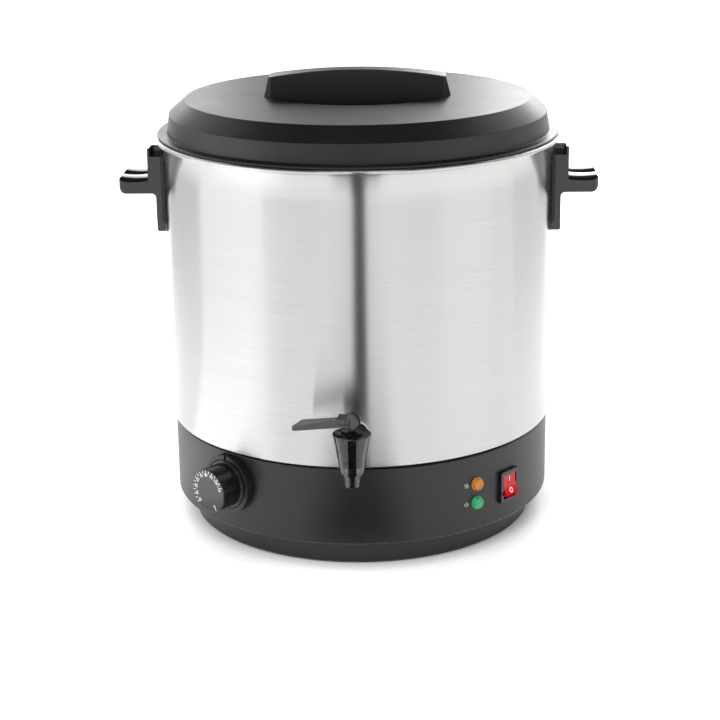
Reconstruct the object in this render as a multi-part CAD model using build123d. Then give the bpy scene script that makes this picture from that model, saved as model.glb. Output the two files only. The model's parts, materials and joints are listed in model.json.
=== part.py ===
from build123d import *

import os
from math import atan2, cos, pi, radians, sin, sqrt, tan

# Hot drinks urn: a steel tank on a plastic heater base, with a lift-off lid and a lever tap.
# Millimetres. Origin on the tank's axis at the floor, +Z up, tap towards -Y.

# Running and assembly clearances
RUNNING_GAP = 0.05
SEAT_GAP = 0.1
CURVE_GAP = 0.2
MOVING_GAP = 0.4

# Small rounding of moulded edges
EDGE_ROUND = 0.6

# Steel tank
TANK_RADIUS = 180.0
TANK_WALL = 1.0
TANK_FLOOR = 1.5
TANK_HEIGHT = 264.8
TANK_CORNER = 0.8
RIM_BEAD = 4.0
RIM_OVERHANG = 7.0

# Plastic base and its foot
FOOT_HEIGHT = 24.5
BASE_HEIGHT = 72.7
BASE_STEP = 1.7
BASE_WALL = 3.0
BASE_LOWER_ROUND = 2.5
BASE_UPPER_ROUND = 1.2
LEDGE_WIDTH = 50.3
FLANGE_WIDTH = 13.0
GASKET_THICKNESS = 2.0
GASKET_WIDTH = 14.0
GASKET_INSET = 2.0
FOOT_SET_BACK = 13.3
FOOT_TAPER = 3.2
FOOT_RIM_WIDTH = 12.5
FOOT_CLEARANCE = 1.5
FOOT_EDGE_ROUND = 1.2
COVER_FLOOR_TOP = 10.0
FOOT_RING_WIDTH = 6.0
FOOT_RING_HEIGHT = 4.5
FOOT_RING_RIM = 4.0
BOSS_RADIUS = 6.0
BOSS_INSET = 42.3
BOSS_COUNT = 4
BOSS_TURN = 20.0
SCREW_RADIUS = 2.0
SCREW_HEAD_RADIUS = 4.0
SCREW_HEAD_HEIGHT = 2.4
SCREW_BITE = 14.0
STUD_RADIUS = 2.5
STUD_INSET = 27.3
STUD_TURN = 65.0
STUD_TAIL = 3.0
NUT_HEIGHT = 4.0
NUT_RADIUS = 4.6

# Heater under the tank floor
HEAT_PLATE_MARGIN = 10.0
HEAT_PLATE_THICKNESS = 4.0
ELEMENT_INSET = 30.0
ELEMENT_SECTION = 8.5
ELEMENT_SWEEP = 310.0
ELEMENT_LEG = 9.0
ELEMENT_PIN_RADIUS = 2.0
ELEMENT_PIN_LENGTH = 12.0
CUTOUT_RADIUS = 9.0
CUTOUT_HEIGHT = 10.0
CUTOUT_SPACING = 60.0
BULB_RADIUS = 3.0
BULB_LENGTH = 70.0
BULB_INSET = 11.0
CLIP_WALL = 1.0
CLIP_LENGTH = 24.0
CLIP_EAR = 8.0
CAPILLARY_RADIUS = 0.9
CAPILLARY_BEND = 9.0
TERMINAL_LENGTH = 46.0
TERMINAL_WIDTH = 20.0
TERMINAL_HEIGHT = 16.0
TERMINAL_INSET = 88.3
TERMINAL_WAYS = 3
TERMINAL_SCREW_RADIUS = 2.0
TERMINAL_SCREW_DEPTH = 8.0

# Supply inlet at the back
GLAND_BORE_RADIUS = 4.0
GLAND_THREAD_RADIUS = 8.0
GLAND_HEAD_RADIUS = 11.0
GLAND_HEAD_LENGTH = 7.0
GLAND_TAIL = 9.0
GLAND_NUT_LENGTH = 5.0
GLAND_NUT_RADIUS = 11.5
GLAND_HEIGHT = 48.0
GLAND_PAD_RADIUS = 14.0
GLAND_PAD_PROUD = 0.9

# Lid with its grip bar
LID_WALL = 3.0
BRIM_REACH = 5.0
BRIM_THICKNESS = 2.5
BRIM_ROUND = 1.1
LID_EDGE_ROUND = 1.0
LID_ROOT_ROUND = 0.8
SKIRT_SET_BACK = 4.0
SKIRT_DRAFT = 2.2
SHOULDER_RISE = 17.2
SHOULDER_WIDTH = 15.0
PLATE_RISE = 30.4
SPIGOT_DEPTH = 12.0
SPIGOT_WALL = 2.4
WELL_DEPTH = 22.0
GRIP_LENGTH = 171.0
GRIP_END_SLOPE = 4.5
GRIP_END_WIDTH = 32.0
GRIP_END_CHAMFER = 3.0
GRIP_WAIST = 21.0
GRIP_RISE = 24.5
GRIP_CROWN = 6.1
GRIP_WALL = 3.0
GRIP_EDGE_ROUND = 1.2
WELL_HALF_WIDTH = 60.0
GRIP_SCREW_SPACING = 90.0
GRIP_BOSS_RADIUS = 5.0

# Side handles
HANDLE_WIDTH = 62.0
HANDLE_TOP_DROP = 10.0
HANDLE_HEIGHT = 79.0
HANDLE_REACH = 40.5
HANDLE_BLOCK = 12.7
HANDLE_PLATE = 6.0
HANDLE_LIP = 0.7
SHELF_BOTTOM = 36.5
SHELF_THICKNESS = 15.5
SHELF_DISH = 1.2
SHELF_ROLL = 3.5
SHELF_ROUND = 7.0
SHELF_TIP_ROUND = 4.0
HANDLE_PLAN_ROUND = 6.5
HANDLE_TOE = 10.0
HANDLE_TOE_CUT = 5.0
HANDLE_TOE_STEP = 0.7
HANDLE_NOTCH_DEPTH = 8.0
HANDLE_NOTCH_LENGTH = 16.0
HANDLE_NOTCH_WALL = 2.2
HANDLE_TOE_ROUND = 2.0
HANDLE_FILLET = 4.0
HANDLE_FACE_MARGIN = 0.8
HANDLE_FACE_SLOPE = 0.8
HANDLE_TOP_ROUND = 1.0
HANDLE_SCREW_DROP = 17.0
HANDLE_SCREW_PITCH = 18.0
HANDLE_SCREW_BITE = 9.0
SEAL_RADIUS = 6.0
SEAL_THICKNESS = 1.2

# Lever tap
TAP_STAND_OFF = 45.0
TAP_PORT_HEIGHT = 29.8
TAP_RIM_RADIUS = 16.6
TAP_NECK_RADIUS = 10.2
TAP_SHOULDER_RADIUS = 7.5
TAP_NOZZLE_RADIUS = 6.4
TAP_CONE_LENGTH = 35.0
TAP_SHOULDER_LENGTH = 4.1
TAP_NOZZLE_LENGTH = 8.6
TAP_RIM_ABOVE_PORT = 18.7
TAP_NECK_ROUND = 3.0
TAP_RIM_LIP = 2.0
TAP_RIM_DEPTH = 3.2
TAP_CHAMBER_RADIUS = 8.7
TAP_CHAMBER_DEPTH = 28.7
TAP_BONNET_BORE_RADIUS = 10.7
TAP_BONNET_DEPTH = 14.0
TAP_SEAT_RADIUS = 4.2
TAP_BONNET_FLANGE = 2.4
TAP_SHANK_RADIUS = 8.0
TAP_SHANK_BORE = 5.0
TAP_COLLAR_RADIUS = 14.0
TAP_COLLAR_THICKNESS = 3.0
TAP_SHANK_TAIL = 13.0
TAP_WASHER_THICKNESS = 2.0
TAP_NUT_LENGTH = 6.0
TAP_NUT_RADIUS = 13.5
SLIP_RING_RADIUS = 9.3
SLIP_RING_HEIGHT = 2.2
STEM_RADIUS = 3.0
STEM_HEAD = 3.6
SEAL_PLUG_RADIUS = 7.9
SEAL_PLUG_HEIGHT = 7.0
SEAL_PLUG_SOCKET = 4.0
SPRING_WALL = 1.4
PIN_RADIUS = 1.2
TANG_THICKNESS = 2.6
CAM_RADIUS = 8.6
CAM_SHIFT = 1.4
CAM_RISE = 5.4
HUB_WIDTH = 8.4
BARREL_RADIUS = 5.3
BARREL_LENGTH = 11.4
HUB_ROUND = 1.4
HUB_FLAT = 2.4
HUB_GROOVE_WIDTH = 0.9
HUB_GROOVE_DEPTH = 1.2
LEVER_LENGTH = 53.0
LEVER_DROOP = 10.8
LEVER_NECK_WIDTH = 9.0
LEVER_NECK_THICKNESS = 8.0
LEVER_NECK_LENGTH = 13.0
LEVER_TIP_WIDTH = 21.0
LEVER_TIP_THICKNESS = 3.8
LEVER_TIP_ROUND = 3.0
LEVER_BEARING = 156.5

# Thermostat knob, left of the tap
KNOB_BEARING = -39.5
KNOB_HEIGHT = 69.0
BEZEL_RADIUS = 27.0
BEZEL_PROUD = 7.0
BEZEL_RIM = 4.0
BEZEL_FLOOR = 2.0
BEZEL_NOTCH_WIDTH = 2.4
BEZEL_NOTCH_DEPTH = 1.8
KNOB_SKIRT_RADIUS = 22.3
KNOB_SKIRT_HEIGHT = 3.0
KNOB_RADIUS = 20.2
KNOB_DRAFT = 0.4
KNOB_FACE_HEIGHT = 29.0
KNOB_EDGE_ROUND = 0.8
KNOB_SOCKET_DEPTH = 16.0
SHAFT_RADIUS = 3.0
BUSHING_RADIUS = 5.0
THERMOSTAT_WIDTH = 36.0
THERMOSTAT_TALL = 34.0
THERMOSTAT_DEPTH = 28.0
THERMOSTAT_SHAFT_ROOT = 10.0
THERMOSTAT_SCREW_SPACING = 28.0
THERMOSTAT_SCREW_RADIUS = 1.7
THERMOSTAT_SCREW_HEAD = 3.0
THERMOSTAT_SCREW_HEAD_HEIGHT = 1.8
THERMOSTAT_SCREW_BITE = 6.0

# Rocker switch, right of the tap
SWITCH_BEARING = 50.0
SWITCH_HEIGHT = 58.0
SWITCH_WIDTH = 25.0
SWITCH_TALL = 30.0
SWITCH_PROUD = 3.5
SWITCH_FRAME = 3.4
SWITCH_CORNER = 1.2
SWITCH_BODY_INSET = 1.6
SWITCH_BODY_DEPTH = 22.0
SWITCH_BODY_WALL = 1.6
ROCKER_GAP = 0.5
ROCKER_END_GAP = 1.8
ROCKER_DISH = 2.0
ROCKER_TILT = 11.0
ROCKER_PROUD = 3.2
ROCKER_DEPTH = 6.0
ROCKER_PIVOT_RADIUS = 1.0
SWITCH_PIN_WIDTH = 6.3
SWITCH_PIN_THICKNESS = 0.8
SWITCH_PIN_LENGTH = 9.0
SWITCH_PIN_SPACING = 10.0

# Indicator lamps between the tap and the switch
LAMP_BEARING = 37.3
LAMP_HEIGHT = 60.5
LAMP_SPACING = 18.0
LAMP_COLLAR_RADIUS = 6.3
LAMP_COLLAR_HEIGHT = 1.8
LAMP_LENS_RADIUS = 5.2
LAMP_LENS_PROUD = 4.6
LAMP_DOME = 1.3
LAMP_BODY_RADIUS = 4.6
LAMP_BODY_LENGTH = 19.0
LAMP_NUT_RADIUS = 7.0
LAMP_NUT_HEIGHT = 3.0

# Radii and circles worked out from the sizes above
BASE_RADIUS = TANK_RADIUS - BASE_STEP
LEDGE_INNER_RADIUS = BASE_RADIUS - LEDGE_WIDTH
BOSS_CIRCLE = BASE_RADIUS - BOSS_INSET
STUD_CIRCLE = BASE_RADIUS - STUD_INSET
TERMINAL_OFFSET = BASE_RADIUS - TERMINAL_INSET
HEAT_PLATE_RADIUS = LEDGE_INNER_RADIUS - HEAT_PLATE_MARGIN
ELEMENT_CIRCLE = HEAT_PLATE_RADIUS - ELEMENT_INSET
BULB_OFFSET = HEAT_PLATE_RADIUS - BULB_INSET
BRIM_RADIUS = TANK_RADIUS + BRIM_REACH
SKIRT_RADIUS = TANK_RADIUS - SKIRT_SET_BACK
SHOULDER_RADIUS = SKIRT_RADIUS - SKIRT_DRAFT
PLATE_RADIUS = SHOULDER_RADIUS - SHOULDER_WIDTH

# Heights worked out from the sizes above
BASE_TOP = FOOT_HEIGHT + BASE_HEIGHT
TANK_BOTTOM = BASE_TOP + GASKET_THICKNESS
TANK_INNER_RADIUS = TANK_RADIUS - TANK_WALL
RIM_TOP = TANK_BOTTOM + TANK_HEIGHT
BEAD_RADIUS = RIM_BEAD / 2
BEAD_CIRCLE = TANK_RADIUS + RIM_OVERHANG - BEAD_RADIUS
BEAD_HEIGHT = RIM_TOP - BEAD_RADIUS
LEDGE_BOTTOM = BASE_TOP - BASE_WALL
FOOT_TOP_RADIUS = BASE_RADIUS - FOOT_SET_BACK
FOOT_BOTTOM_RADIUS = FOOT_TOP_RADIUS - FOOT_TAPER
FOOT_RING_OUTER = FOOT_BOTTOM_RADIUS - FOOT_RING_RIM
FOOT_RING_INNER = FOOT_RING_OUTER - FOOT_RING_WIDTH
COVER_FLOOR_BOTTOM = COVER_FLOOR_TOP - BASE_WALL
HEAT_PLATE_BOTTOM = TANK_BOTTOM - HEAT_PLATE_THICKNESS
BRIM_BOTTOM = RIM_TOP + SEAT_GAP
BRIM_TOP = BRIM_BOTTOM + BRIM_THICKNESS
SHOULDER_HEIGHT = BRIM_TOP + SHOULDER_RISE
PLATE_HEIGHT = BRIM_TOP + PLATE_RISE
WELL_FLOOR = PLATE_HEIGHT - WELL_DEPTH
HANDLE_TOP = RIM_TOP - HANDLE_TOP_DROP
HANDLE_BOTTOM = HANDLE_TOP - HANDLE_HEIGHT
TAP_PORT = TANK_BOTTOM + TAP_PORT_HEIGHT
TAP_Y = -(TANK_RADIUS + TAP_STAND_OFF)
TAP_RIM = TAP_PORT + TAP_RIM_ABOVE_PORT
TAP_SEAT = TAP_RIM - TAP_CHAMBER_DEPTH
BONNET_SEAT = TAP_RIM - TAP_RIM_DEPTH
BONNET_TOP = BONNET_SEAT + TAP_BONNET_FLANGE
SLIP_RING_TOP = BONNET_TOP + SEAT_GAP + SLIP_RING_HEIGHT
PIN_HEIGHT = SLIP_RING_TOP + CURVE_GAP + CAM_RADIUS - CAM_RISE
SLEEVE_BOTTOM = TAP_RIM - TAP_BONNET_DEPTH


def outline(*corners):
    """Closed flat outline; a corner with a third number is rounded to that radius."""
    edges = []
    starts = []
    ends = []
    count = len(corners)
    for index, corner in enumerate(corners):
        here = Vector(corner[0], corner[1])
        before = Vector(*corners[index - 1][:2]) - here
        after = Vector(*corners[(index + 1) % count][:2]) - here
        if len(corner) == 2:
            starts.append(here)
            ends.append(here)
            continue
        radius = corner[2]
        before, after = before.normalized(), after.normalized()
        half = radians(before.get_angle(after)) / 2
        run = radius / tan(half)
        middle = (before + after).normalized() * (radius / sin(half) - radius)
        starts.append(here + before * run)
        ends.append(here + after * run)
        edges.append(ThreePointArc(starts[-1], here + middle, ends[-1]))
    for index in range(count):
        following = starts[(index + 1) % count]
        if (following - ends[index]).length > 1e-6:
            edges.append(Line(ends[index], following))
    return make_face(edges)


def spin(*corners):
    """Solid of revolution about Z from (radius, height) corners."""
    return revolve(Plane.XZ * outline(*corners), Axis.Z)


def rod(radius, length):
    """Round rod standing on the local XY plane."""
    return Cylinder(radius, length, align=(Align.CENTER, Align.CENTER, Align.MIN))


def pipe(outer, inner, length):
    """Round tube standing on the local XY plane."""
    return rod(outer, length) - rod(inner, length)


def block(x, y, z):
    """Box standing centred on the local XY plane."""
    return Box(x, y, z, align=(Align.CENTER, Align.CENTER, Align.MIN))


def hexagon(corner_radius, length):
    """Hexagonal prism standing on the local XY plane."""
    return extrude(RegularPolygon(corner_radius, 6), length)


def bearing_point(bearing, radius, height):
    """Point at a bearing seen from above: 0 at the tap, positive to the right of it."""
    angle = radians(bearing)
    return Vector(radius * sin(angle), -radius * cos(angle), height)


def wall_plane(bearing, height, radius=BASE_RADIUS):
    """Plane on the base wall, looking outwards, with its Y axis up."""
    angle = radians(bearing)
    return Plane(
        origin=bearing_point(bearing, radius, height),
        x_dir=(cos(angle), sin(angle), 0),
        z_dir=(sin(angle), -cos(angle), 0),
    )


def around(count, turn, radius, height):
    """Evenly spaced places on a circle about the tank's axis."""
    return [Pos(bearing_point(turn + index * 360 / count, radius, height)) for index in range(count)]


def group(solids):
    """Several separate solids in one node."""
    return Compound(children=list(solids))


def sides():
    """The right and left sides of the tank, as planes that look outwards."""
    return [Plane(origin=(0, 0, 0), x_dir=(0, sign, 0), z_dir=(sign, 0, 0)) for sign in (1, -1)]


def chord_radius(chord, rise):
    """Radius of the arc over a chord with that rise in its middle."""
    return (chord**2 / 4 + rise**2) / (2 * rise)


def handle_screw_heights():
    upper = HANDLE_TOP - HANDLE_SCREW_DROP
    return [upper - HANDLE_SCREW_PITCH, upper]


# Tank and its fixings

def tank():
    """Drawn steel pot with a rolled rim, a tap hole and handle screw holes."""
    flare = BEAD_CIRCLE - TANK_RADIUS
    bend = TANK_WALL * tan(pi / 8)
    pot = spin(
        (0, TANK_BOTTOM),
        (TANK_RADIUS, TANK_BOTTOM, TANK_CORNER),
        (TANK_RADIUS, BEAD_HEIGHT - flare),
        (BEAD_CIRCLE, BEAD_HEIGHT),
        (BEAD_CIRCLE - TANK_WALL * sin(pi / 4), BEAD_HEIGHT + TANK_WALL * sin(pi / 4)),
        (TANK_INNER_RADIUS, BEAD_HEIGHT - flare + bend),
        (TANK_INNER_RADIUS, TANK_BOTTOM + TANK_FLOOR),
        (0, TANK_BOTTOM + TANK_FLOOR),
    )
    pot += Pos(0, 0, BEAD_HEIGHT) * Torus(BEAD_CIRCLE, BEAD_RADIUS)
    tap_hole = rod(TAP_SHANK_RADIUS + CURVE_GAP, 2 * TANK_WALL + RIM_OVERHANG)
    pot -= Plane(origin=(0, -TANK_RADIUS + RIM_OVERHANG, TAP_PORT), z_dir=(0, -1, 0)) * tap_hole
    for side in sides():
        for height in handle_screw_heights():
            hole = rod(SCREW_RADIUS + CURVE_GAP, 3 * TANK_WALL)
            pot -= side * Pos(0, height, TANK_INNER_RADIUS - TANK_WALL) * hole
    return pot


def tank_studs():
    """Studs welded under the tank floor, through the base ledge."""
    length = GASKET_THICKNESS + BASE_WALL + NUT_HEIGHT + STUD_TAIL
    return group(
        place * rod(STUD_RADIUS, length)
        for place in around(BOSS_COUNT, STUD_TURN, STUD_CIRCLE, TANK_BOTTOM - length)
    )


def tank_nuts():
    """Hexagonal nuts that pull the tank down on the base ledge."""
    return group(
        place * (hexagon(NUT_RADIUS, NUT_HEIGHT) - rod(STUD_RADIUS + RUNNING_GAP, NUT_HEIGHT))
        for place in around(BOSS_COUNT, STUD_TURN, STUD_CIRCLE, LEDGE_BOTTOM - NUT_HEIGHT)
    )


# Base

def base_gasket():
    """Rubber ring between the tank and the base, seen as a thin dark seam."""
    outer = BASE_RADIUS - GASKET_INSET
    return Pos(0, 0, BASE_TOP) * pipe(outer, outer - GASKET_WIDTH, GASKET_THICKNESS)


def base_housing():
    """Moulded heater base: wall, tank ledge, bottom flange, screw bosses and panel cut-outs."""
    inner = BASE_RADIUS - BASE_WALL
    flange = BASE_RADIUS - FLANGE_WIDTH - BASE_WALL
    shell = spin(
        (BASE_RADIUS, FOOT_HEIGHT, BASE_LOWER_ROUND),
        (BASE_RADIUS, BASE_TOP, BASE_UPPER_ROUND),
        (LEDGE_INNER_RADIUS, BASE_TOP),
        (LEDGE_INNER_RADIUS, LEDGE_BOTTOM),
        (inner, LEDGE_BOTTOM),
        (inner, FOOT_HEIGHT + BASE_WALL),
        (flange, FOOT_HEIGHT + BASE_WALL),
        (flange, FOOT_HEIGHT),
    )
    for place in around(BOSS_COUNT, BOSS_TURN, BOSS_CIRCLE, COVER_FLOOR_TOP):
        boss = rod(BOSS_RADIUS, LEDGE_BOTTOM - COVER_FLOOR_TOP)
        shell += place * boss
    for place in around(BOSS_COUNT, BOSS_TURN, BOSS_CIRCLE, COVER_FLOOR_TOP):
        shell -= place * rod(SCREW_RADIUS + RUNNING_GAP, SCREW_BITE + STUD_TAIL)
    for place in around(BOSS_COUNT, STUD_TURN, STUD_CIRCLE, LEDGE_BOTTOM):
        shell -= place * rod(STUD_RADIUS + RUNNING_GAP, BASE_WALL)
    pad = Pos(0, 0, -BASE_WALL) * rod(GLAND_PAD_RADIUS, BASE_WALL + GLAND_PAD_PROUD)
    return shell + wall_plane(180, GLAND_HEIGHT) * pad - panel_cutouts()


def panel_cutouts():
    """Everything that is cut through the base wall for the controls and the inlet."""
    depth = 3 * BASE_WALL
    knob = wall_plane(KNOB_BEARING, KNOB_HEIGHT) * Pos(0, 0, -depth)
    cuts = knob * rod(BUSHING_RADIUS + RUNNING_GAP, 2 * depth)
    for sign in (1, -1):
        hole = rod(THERMOSTAT_SCREW_RADIUS + RUNNING_GAP, 2 * depth)
        cuts += knob * Pos(sign * THERMOSTAT_SCREW_SPACING / 2, 0, 0) * hole
    width, tall = switch_body_size()
    switch = wall_plane(SWITCH_BEARING, SWITCH_HEIGHT) * Pos(0, 0, -depth)
    cuts += switch * block(width + 2 * SEAT_GAP, tall + 2 * SEAT_GAP, 2 * depth)
    for height in lamp_heights():
        lamp = wall_plane(LAMP_BEARING, height) * Pos(0, 0, -depth)
        cuts += lamp * rod(LAMP_BODY_RADIUS + SEAT_GAP, 2 * depth)
    inlet = rod(GLAND_THREAD_RADIUS + RUNNING_GAP, 2 * depth)
    return cuts + wall_plane(180, GLAND_HEIGHT) * Pos(0, 0, -depth) * inlet


def bottom_cover():
    """Dished cover that closes the base and forms the set-back foot."""
    rim = FOOT_BOTTOM_RADIUS - FOOT_RIM_WIDTH
    slope = FOOT_TAPER * (FOOT_HEIGHT - COVER_FLOOR_TOP) / (FOOT_HEIGHT - FOOT_CLEARANCE)
    dish = spin(
        (FOOT_BOTTOM_RADIUS, FOOT_CLEARANCE, FOOT_EDGE_ROUND),
        (FOOT_TOP_RADIUS, FOOT_HEIGHT),
        (FOOT_TOP_RADIUS - BASE_WALL, FOOT_HEIGHT),
        (FOOT_TOP_RADIUS - BASE_WALL - slope, COVER_FLOOR_TOP),
        (0, COVER_FLOOR_TOP),
        (0, COVER_FLOOR_BOTTOM),
        (rim, COVER_FLOOR_BOTTOM),
        (rim, FOOT_CLEARANCE),
    )
    dish -= pipe(FOOT_RING_OUTER, FOOT_RING_INNER, FOOT_RING_HEIGHT)
    for place in around(BOSS_COUNT, BOSS_TURN, BOSS_CIRCLE, COVER_FLOOR_BOTTOM):
        dish -= place * rod(SCREW_RADIUS + CURVE_GAP, BASE_WALL)
    return dish


def foot_ring():
    """Rubber ring in the rim of the foot, which the urn stands on."""
    return pipe(FOOT_RING_OUTER - RUNNING_GAP, FOOT_RING_INNER + RUNNING_GAP, FOOT_RING_HEIGHT)


def screw(length):
    """Pan head screw, head below the local XY plane and shank above it."""
    head = rod(SCREW_HEAD_RADIUS, SCREW_HEAD_HEIGHT)
    return rod(SCREW_RADIUS, length) + Pos(0, 0, -SCREW_HEAD_HEIGHT) * head


def cover_screws():
    """Screws that hold the bottom cover to the base bosses."""
    return group(
        place * screw(BASE_WALL + SCREW_BITE)
        for place in around(BOSS_COUNT, BOSS_TURN, BOSS_CIRCLE, COVER_FLOOR_BOTTOM)
    )


# Heater

def heat_plate():
    """Aluminium plate against the tank floor that spreads the heat."""
    return Pos(0, 0, HEAT_PLATE_BOTTOM) * rod(HEAT_PLATE_RADIUS, HEAT_PLATE_THICKNESS)


def element_ends():
    """The two places where the element turns down to its terminals."""
    gap = (360 - ELEMENT_SWEEP) / 2
    return [bearing_point(180 + sign * gap, ELEMENT_CIRCLE, 0) for sign in (1, -1)]


def heating_element():
    """Sheathed tube element in an open ring under the heat plate."""
    half = ELEMENT_SECTION / 2
    start = element_ends()[0]
    section = Pos(ELEMENT_CIRCLE, HEAT_PLATE_BOTTOM - half) * RectangleRounded(
        ELEMENT_SECTION, ELEMENT_SECTION, half / 2
    )
    ring = revolve(Plane.XZ * section, Axis.Z, revolution_arc=ELEMENT_SWEEP)
    ring = Rot(0, 0, atan2(start.Y, start.X) * 180 / pi) * ring
    leg_bottom = HEAT_PLATE_BOTTOM - ELEMENT_SECTION - ELEMENT_LEG
    for end in element_ends():
        ring += Pos(end.X, end.Y, leg_bottom) * rod(half, ELEMENT_LEG + half)
    return ring


def element_pins():
    """Terminal pins of the element."""
    leg_bottom = HEAT_PLATE_BOTTOM - ELEMENT_SECTION - ELEMENT_LEG
    return group(
        Pos(end.X, end.Y, leg_bottom - ELEMENT_PIN_LENGTH) * rod(ELEMENT_PIN_RADIUS, ELEMENT_PIN_LENGTH)
        for end in element_ends()
    )


def thermal_cutouts():
    """Dry-boil cut-outs on the underside of the heat plate."""
    can = rod(CUTOUT_RADIUS, CUTOUT_HEIGHT)
    return group(
        Pos(sign * CUTOUT_SPACING / 2, 0, HEAT_PLATE_BOTTOM - CUTOUT_HEIGHT) * can for sign in (1, -1)
    )


def bulb_axis():
    """Plane through the middle of the thermostat bulb, along its length."""
    centre = bearing_point(KNOB_BEARING, BULB_OFFSET, HEAT_PLATE_BOTTOM - BULB_RADIUS - RUNNING_GAP)
    return Plane(origin=centre, x_dir=wall_plane(KNOB_BEARING, 0).x_dir, z_dir=(0, 0, 1))


def thermostat_bulb():
    """Liquid bulb that feels the tank's heat."""
    return bulb_axis() * Rot(0, 90, 0) * Cylinder(BULB_RADIUS, BULB_LENGTH)


def bulb_clip():
    """Steel saddle that holds the bulb against the heat plate."""
    outer = BULB_RADIUS + RUNNING_GAP + CLIP_WALL
    ears = Pos(0, 0, outer - CLIP_WALL) * Box(
        CLIP_LENGTH, 2 * (outer + CLIP_EAR), CLIP_WALL, align=(Align.CENTER, Align.CENTER, Align.MAX)
    )
    saddle = Rot(0, 90, 0) * Cylinder(outer, CLIP_LENGTH) + ears
    saddle -= Rot(0, 90, 0) * Cylinder(BULB_RADIUS + RUNNING_GAP, CLIP_LENGTH)
    above = Pos(0, 0, BULB_RADIUS + RUNNING_GAP) * block(CLIP_LENGTH, 4 * outer, outer)
    slot = block(CLIP_LENGTH, 2 * (BULB_RADIUS + RUNNING_GAP), outer)
    return bulb_axis() * (saddle - above - slot)


def capillary():
    """Thin tube from the thermostat to its bulb."""
    axis = bulb_axis()
    back = wall_plane(KNOB_BEARING, KNOB_HEIGHT).z_dir
    case_back = BASE_RADIUS - thermostat_seat() - THERMOSTAT_DEPTH
    inner = bearing_point(KNOB_BEARING, case_back, KNOB_HEIGHT)
    bulb_end = axis.origin + axis.x_dir * (BULB_LENGTH / 2)
    drop = Vector(0, 0, KNOB_HEIGHT - bulb_end.Z)
    beyond = bulb_end + axis.x_dir * (2 * CAPILLARY_BEND)
    start = inner + axis.x_dir * (THERMOSTAT_WIDTH / 4)
    inward = start - back * (inner - bearing_point(KNOB_BEARING, BULB_OFFSET, KNOB_HEIGHT)).length
    path = FilletPolyline(start, inward, beyond + drop, beyond, bulb_end, radius=CAPILLARY_BEND)
    section = Plane(origin=start, z_dir=-back) * Circle(CAPILLARY_RADIUS)
    return sweep(section, path=path)


def terminal_place():
    return Pos(0, TERMINAL_OFFSET, COVER_FLOOR_TOP)


def terminal_screw_places():
    pitch = TERMINAL_LENGTH / TERMINAL_WAYS
    first = -TERMINAL_LENGTH / 2 + pitch / 2
    return [Pos(first + way * pitch, 0, TERMINAL_HEIGHT) for way in range(TERMINAL_WAYS)]


def terminal_block():
    """Ceramic block where the supply meets the heater wiring."""
    body = block(TERMINAL_LENGTH, TERMINAL_WIDTH, TERMINAL_HEIGHT)
    for place in terminal_screw_places():
        body -= place * Pos(0, 0, -TERMINAL_SCREW_DEPTH) * rod(
            TERMINAL_SCREW_RADIUS + RUNNING_GAP, TERMINAL_SCREW_DEPTH
        )
    return terminal_place() * body


def terminal_screws():
    """Clamp screws of the terminal block."""
    return group(
        terminal_place() * place * Pos(0, 0, -TERMINAL_SCREW_DEPTH) * rod(
            TERMINAL_SCREW_RADIUS, TERMINAL_SCREW_DEPTH
        )
        for place in terminal_screw_places()
    )


# Supply inlet

def gland_plane():
    return wall_plane(180, GLAND_HEIGHT, BASE_RADIUS + GLAND_PAD_PROUD)


def cable_gland():
    """Hollow gland for the supply cord, in the back of the base."""
    tail = BASE_WALL + GLAND_PAD_PROUD + GLAND_TAIL
    body = rod(GLAND_HEAD_RADIUS, GLAND_HEAD_LENGTH)
    body = chamfer(body.edges().group_by(Axis.Z)[-1], GLAND_HEAD_LENGTH / 3)
    body += Pos(0, 0, -tail) * rod(GLAND_THREAD_RADIUS, tail)
    body -= Pos(0, 0, -tail) * rod(GLAND_BORE_RADIUS, tail + GLAND_HEAD_LENGTH)
    return gland_plane() * body


def gland_nut():
    """Nut that clamps the gland to the wall from inside."""
    nut = hexagon(GLAND_NUT_RADIUS, GLAND_NUT_LENGTH)
    nut -= rod(GLAND_THREAD_RADIUS + RUNNING_GAP, GLAND_NUT_LENGTH)
    seat = BASE_WALL + GLAND_PAD_PROUD + nut_sagitta() + GLAND_NUT_LENGTH
    return gland_plane() * Pos(0, 0, -seat) * nut


def nut_sagitta():
    """How far the curved inner wall stands in front of a flat nut."""
    inner = BASE_RADIUS - BASE_WALL
    return inner - sqrt(inner**2 - GLAND_NUT_RADIUS**2)


# Lid

def lens(inset, bottom, top):
    """Upright prism whose plan is the overlap of two round arcs across the lid."""
    half = GRIP_LENGTH / 2
    radius = (half**2 + WELL_HALF_WIDTH**2) / (2 * WELL_HALF_WIDTH)
    offset = radius - WELL_HALF_WIDTH
    front = Pos(0, offset, bottom) * rod(radius - inset, top - bottom)
    back = Pos(0, -offset, bottom) * rod(radius - inset, top - bottom)
    return front & back


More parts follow.
